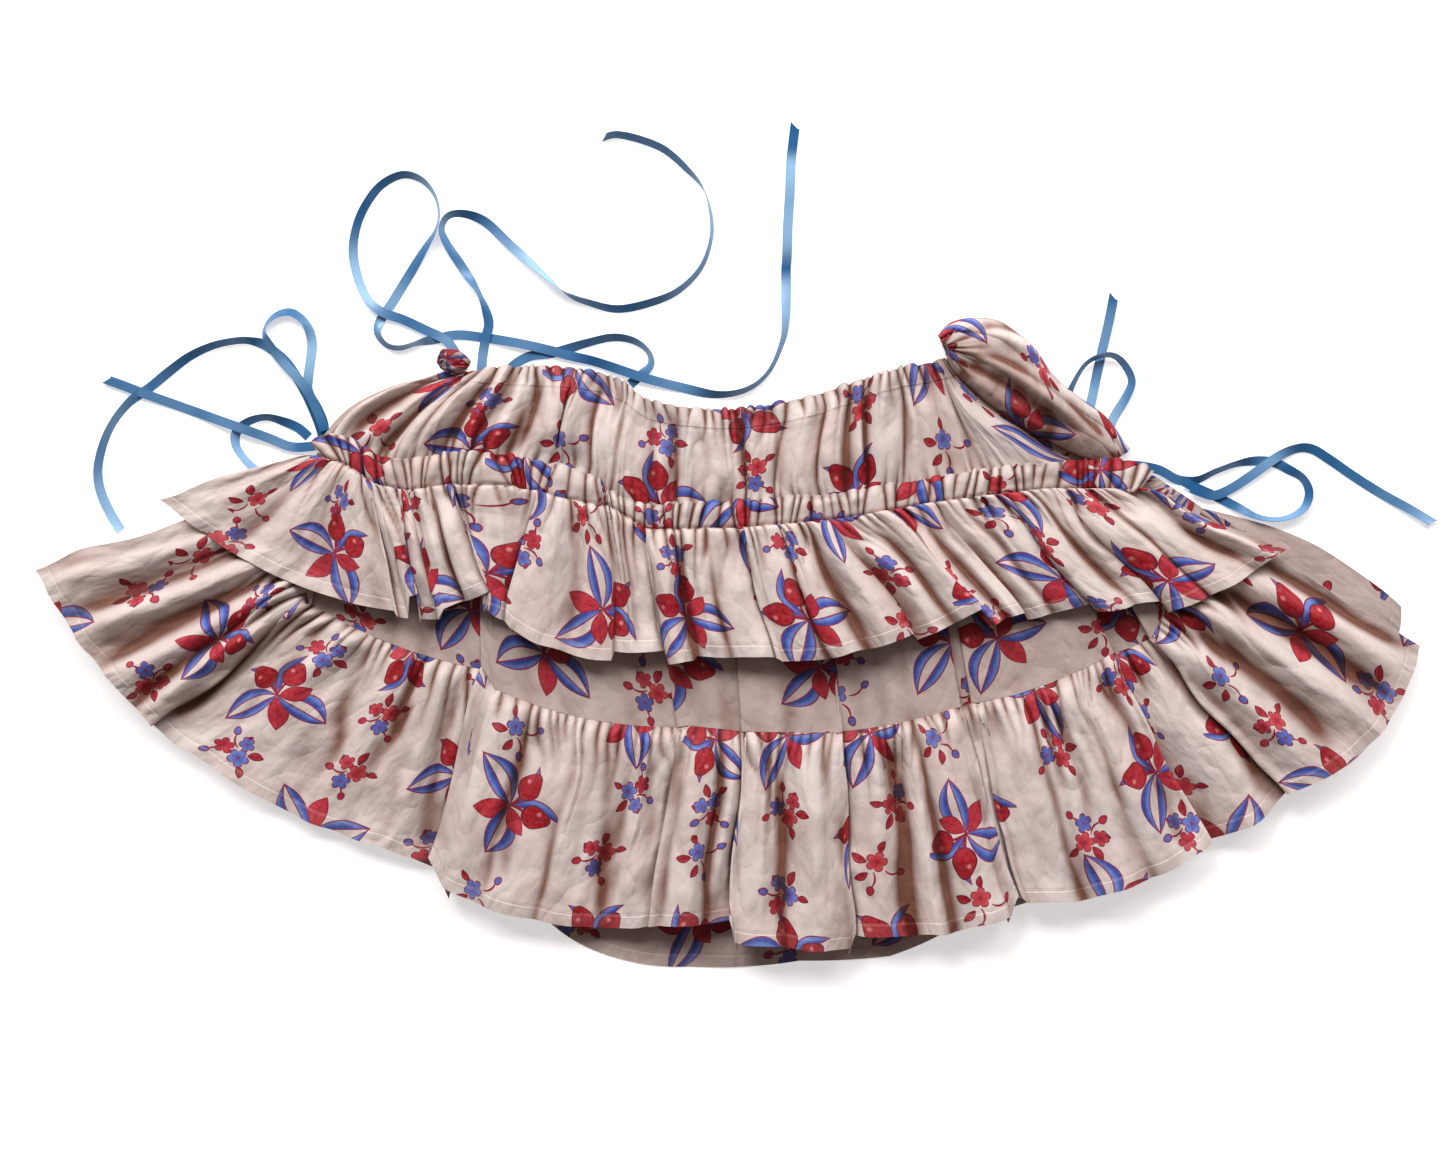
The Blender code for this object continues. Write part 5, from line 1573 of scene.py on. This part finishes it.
# Painted shade: the back lies in the shadow of the front's hems
BACK_SHADE = 0.3
BACK_PRINT = (0.065, 0.04)
backs = []
for node, sections, rows, (top_gap, low_gap), finish, flat in (
    ("back_ruffle", BACK_RUFFLE, BACK_RUFFLE_ROWS, (0, 0), cotton_hemmed, (0.62, 0.09)),
    ("back_tier", BACK_TIER, BACK_TIER_ROWS, (0, 0.15), cotton, (0.44, 0.08)),
    ("back_band", band_sections(BACK_SEAM), BACK_BAND_ROWS, (0.2, 0.2), cotton, (0.58, 0.14)),
    ("back_flounce", flounce_sections(BACK_SEAM), BACK_FLOUNCE_ROWS, (0.2, 0), cotton_hemmed, (0.98, 0.14)),
):
    made = panel(sections, rows, FLAT_STYLE, len(node), top_gap=top_gap, low_gap=low_gap)
    made["points"][:, :, 2] = np.maximum(made["points"][:, :, 2], LOWEST)
    # Painted shade over the whole back panel
    made["shade"] += BACK_SHADE
    made["cut"] += BACK_PRINT
    backs.append(sew(node, made, finish, flat))

# %% [markdown]
# ## Front tier, band and flounce
# The tier is gathered twice: on the waist ribbon above, and along the ruffle's line below. The band is
# smooth. The flounce is gathered into the band's lower edge, and its wings fan out at both sides.

# %% Front tier, band and flounce
GAP = 0.15
TIER_STYLE = Style(34, 0.85, 0.5, 5.4, 22, (3, 11), 3.4, 0.7, 7.0, 0, 2.8, True)
BAND_STYLE = Style(18, 2.0, 0.2, 0.3, 12, (10, 20), 0, 0.3, 0.5)
# Painted shade: the band lies in the shadow of the ruffle
BAND_SHADE = 0.3
BAND_PRINT = (0.012, 0.027)
FLOUNCE_STYLE = Style(44, 1.2, 0.4, 6.8, 34, (3.6, 12), 0, 0.8, 6.0, 2.2)
FLOUNCE_CALM = {0: 0.35, 2: 0.35, 4: 0.8, 10: 0.9, 14: 0.9, 18: 0.4}

back_trees = tree_of(*backs)
tier = panel(UPPER_TIER, UPPER_TIER_ROWS, TIER_STYLE, 3, creases=TIER_CREASES, low_gap=GAP)
# Painted shade on the tier under the side fold
tier["shade"] += crease_height(TIER_SHADE, tier["points"][:, :, 0], tier["points"][:, :, 1])
lay_over(tier, back_trees, 0.6)
front_tier = sew("front_tier", tier, cotton_waist, (0.5, 0.09))

band = panel(band_sections(SEAM), BAND_ROWS, BAND_STYLE, 4, top_gap=GAP, low_gap=GAP)
# Painted shade over the whole band
band["shade"] += BAND_SHADE
band["cut"] += BAND_PRINT
lay_over(band, back_trees, 0.6)
front_band = sew("front_band", band, cotton, (0.62, 0.14))

flounce = panel(
    flounce_sections(SEAM), FLOUNCE_ROWS, FLOUNCE_STYLE, 5, FLOUNCE_CALM, FLOUNCE_CREASES, top_gap=GAP,
)
lay_over(flounce, back_trees, 0.6)
meet(band, flounce, 4.5)
front_flounce = sew("front_flounce", flounce, cotton_hemmed, (1.35, 0.14))

# %% [markdown]
# ## Side fold
# Past the end of the waist casing, the tier's full cloth turns over and bunches. Its folds start close
# together at the casing and open out as they run down to the ruffle. The print is laid along the cloth as
# it was before the small folds, so they don't tear its shapes.

# %% Side fold
SIDE_ACROSS = 70
SIDE_DOWN = 80
SIDE_WAVES = [0.0, 0.24, 0.6, 1.0]
SIDE_WAVE_HEIGHTS = [1.3, 0.8, 1.2]
SIDE_WAVE_SHARE = 0.6
SIDE_KNOT = (141, 195)
SIDE_RIBS = 17
SIDE_RIB_HEIGHT = 4.2
SIDE_RIB_REACH = 24
SIDE_CRUMPLE = 0.9
# Painted shade: how much darker the side fold gets towards its inner edge
SIDE_SHADE = 0.5
SIDE_PRINT = (700, 300)
SIDE_CREASES = table(
    Crease,
    (143, 206, 214, 188, 5, 3.2, 6), (146, 196, 232, 148, 6, 4.5, 5), (150, 190, 222, 140, 5, -4.0, 3),
    (152, 205, 206, 204, 5, -3.0, 5), (160, 196, 254, 132, 4, -4.0, 6), (196, 168, 258, 124, 5, 3.4, 2),
    (158, 178, 214, 138, 4, 3.0, -3),
)


def curve_cuts(cuts, count):
    """The cuts with count steps on a smooth curve through them."""
    ends = [cuts[0], *cuts, cuts[-1]]
    line = []
    for step in range(count + 1):
        place = step / count * (len(cuts) - 1)
        part = min(int(place), len(cuts) - 2)
        line.append([curve_between(values, place - part) for values in zip(*ends[part:part + 4])])
    return np.array(line)


def side_fold():
    across = np.linspace(1, 0, SIDE_ACROSS + 1)[:, None]
    out_x, out_y, in_x, in_y, swell, fold = curve_cuts(SIDE_FOLD, SIDE_DOWN).T
    x = lerp(out_x, in_x, across)
    y = lerp(out_y, in_y, across)
    wave_at, phase = part_of(across, SIDE_WAVES)
    wave = np.abs(np.sin(np.pi * phase)) ** 0.8 * np.array(SIDE_WAVE_HEIGHTS)[wave_at]
    rise = lerp(SIDE_FOLD_OUTER_HEIGHT, SIDE_FOLD_INNER_HEIGHT, smooth(across))
    full = np.sin(np.pi * np.clip(across, 0, 1)) ** SIDE_FOLD_FULLNESS
    plain = np.stack([x, y, rise + swell * full], axis=2)
    away = np.hypot(x - SIDE_KNOT[0], y - SIDE_KNOT[1])
    turn = np.arctan2(y - SIDE_KNOT[1], x - SIDE_KNOT[0]) + 0.12 * noise_field(x, y, 14, 14, 2.2)
    ribs = np.abs(np.sin(turn * SIDE_RIBS / 2)) ** 0.7
    uneven = 0.6 + 0.8 * noise_field(turn * 8, away * 0, 1.3, 1, 5.1)
    z = plain[:, :, 2] + fold * wave * SIDE_WAVE_SHARE
    z = z + SIDE_RIB_HEIGHT * ribs * uneven * fading(away, SIDE_RIB_REACH) * smooth(away / 6)
    z = z + crease_height(SIDE_CREASES, x, y)
    z = z + (noise_field(x, y, 12, 14, 8.3) - 2 * np.abs(noise_field(x, y, 22, 18, 3.3))) * SIDE_CRUMPLE
    u = np.broadcast_to(arc(plain.transpose(1, 0, 2))[SIDE_DOWN // 2][:, None], x.shape)
    # The shade is painted shade: darker towards the inner edge of the fold, and in its creases
    return {
        "points": np.stack([x, y, z], axis=2),
        "cut": np.stack([arc(plain) + SIDE_PRINT[0], u + SIDE_PRINT[1]], axis=2) * MM,
        "edges": np.full((*x.shape, 2), 0.3),
        "shade": SIDE_SHADE * smooth((across - 0.05) / 0.5) + 0.5 * hollows(z.T).T,
    }


side = side_fold()
lay_over(side, tree_of(*backs, front_tier), 0.6)
right_side_fold = sew("right_side_fold", side, cotton, (0.125, 0.07))

# %% [markdown]
# ## Ruffle and its casing
# The ruffle is one strip, gathered on ribbons that run through its header. The header stands as a row of
# tight small pleats, and below it the strip opens into leaves that lie over one another.

# %% Ruffle and its casing
CASING_STYLE = Style(14, 0.75, 0.3, 4.4, 90, (3, 11), 0, 0.3, 0.6, 0, 2.6, True, 1.6)
CASING_DEPTH = 1.45
RUFFLE_STYLE = Style(34, 0.95, 0.4, 6.8, 34, (3, 11), 0, 0.75, 5.5, 2.2, 0, True)
RUFFLE_CALM = {0: 0.3, 2: 0.2, 12: 0.35, 20: 0.8, 30: 0.7}

front_trees = tree_of(front_tier, front_band, front_flounce, right_side_fold)
deeper = [
    s._replace(low_x=lerp(s.top_x, s.low_x, CASING_DEPTH), low_y=lerp(s.top_y, s.low_y, CASING_DEPTH))
    for s in CASING
]
casing = panel(deeper, CASING_ROWS, CASING_STYLE, RUFFLE_LINE, low_gap=GAP)
lay_over(casing, front_trees, 0.8, 4, 2)
sew("front_ruffle_casing", casing, cotton, (0.80, 0.016))

ruffle = panel(RUFFLE, RUFFLE_ROWS, RUFFLE_STYLE, RUFFLE_LINE, RUFFLE_CALM, RUFFLE_CREASES, top_gap=GAP)
lay_over(ruffle, front_trees, 0.8)
meet(casing, ruffle, 4)
sew("front_ruffle", ruffle, cotton_hemmed, (0.98, 0.1))

# %% [markdown]
# ## Knotted casing end
# At the left the waist casing's end is drawn tight round the ribbon, so it bunches into a small crumpled
# bud of printed cloth. It starts as a round ball whose surface is pushed out in ribs that run from end to
# end.

# %% Knotted casing end
KNOT_MIDDLE = (-182.0, 187.0, 6.4)
KNOT_HALF = (11.5, 8.4, 5.4)
KNOT_TURN = -12.0
KNOT_RIBS = 9
KNOT_CRUMPLE = 2.3
KNOT_CORE = 0.82
KNOT_RIB = 0.16
KNOT_CRUSH = 0.14
KNOT_TAPER = 0.1
KNOT_PRINT_SCALE = (1.6, 2.2)
KNOT_PRINT = (0.026, 0.033)
# Painted shade over the whole knot
KNOT_SHADE = (0.5, 0.5)

knot_work = bmesh.new()
bmesh.ops.create_uvsphere(knot_work, u_segments=72, v_segments=36, radius=1.0)
quarter_turn = Matrix.Rotation(math.radians(90), 3, "Y")
bmesh.ops.rotate(knot_work, verts=knot_work.verts, cent=(0, 0, 0), matrix=quarter_turn)
for vert in knot_work.verts:
    round_it = math.atan2(vert.co.z, vert.co.y)
    crush = noise.noise(vert.co * KNOT_CRUMPLE + Vector((3, 1, 7)))
    rib = abs(math.sin(round_it * KNOT_RIBS / 2 + 1.4 * vert.co.x + 2 * crush))
    vert.co *= KNOT_CORE + KNOT_RIB * rib + KNOT_CRUSH * crush
    vert.co.z *= 1 - KNOT_TAPER + KNOT_TAPER * vert.co.x
turn = Matrix.Rotation(math.radians(KNOT_TURN), 4, "Z")
knot_shape = Matrix.Translation(KNOT_MIDDLE) @ turn @ Matrix.Diagonal((*KNOT_HALF, 1.0))
bmesh.ops.transform(knot_work, matrix=Matrix.Scale(MM, 4) @ knot_shape, verts=knot_work.verts)
# The knot's whole surface gets the same painted shade
cut_layer = knot_work.loops.layers.uv.new("cut")
painted_shade_layer = knot_work.loops.layers.uv.new("hollow")
for face in knot_work.faces:
    for corner in face.loops:
        place = corner.vert.co
        corner[cut_layer].uv = (
            place.x * KNOT_PRINT_SCALE[0] + place.z + KNOT_PRINT[0],
            place.y * KNOT_PRINT_SCALE[1] + KNOT_PRINT[1],
        )
        corner[painted_shade_layer].uv = KNOT_SHADE
knot_mesh = mesh_from("waist_casing_end_cloth", knot_work)
knot_mesh.shade_smooth()
knot = place_piece("waist_casing_end_cloth", knot_mesh, cotton, "waist_casing_end")
print("knot faces", len(knot_mesh.polygons))
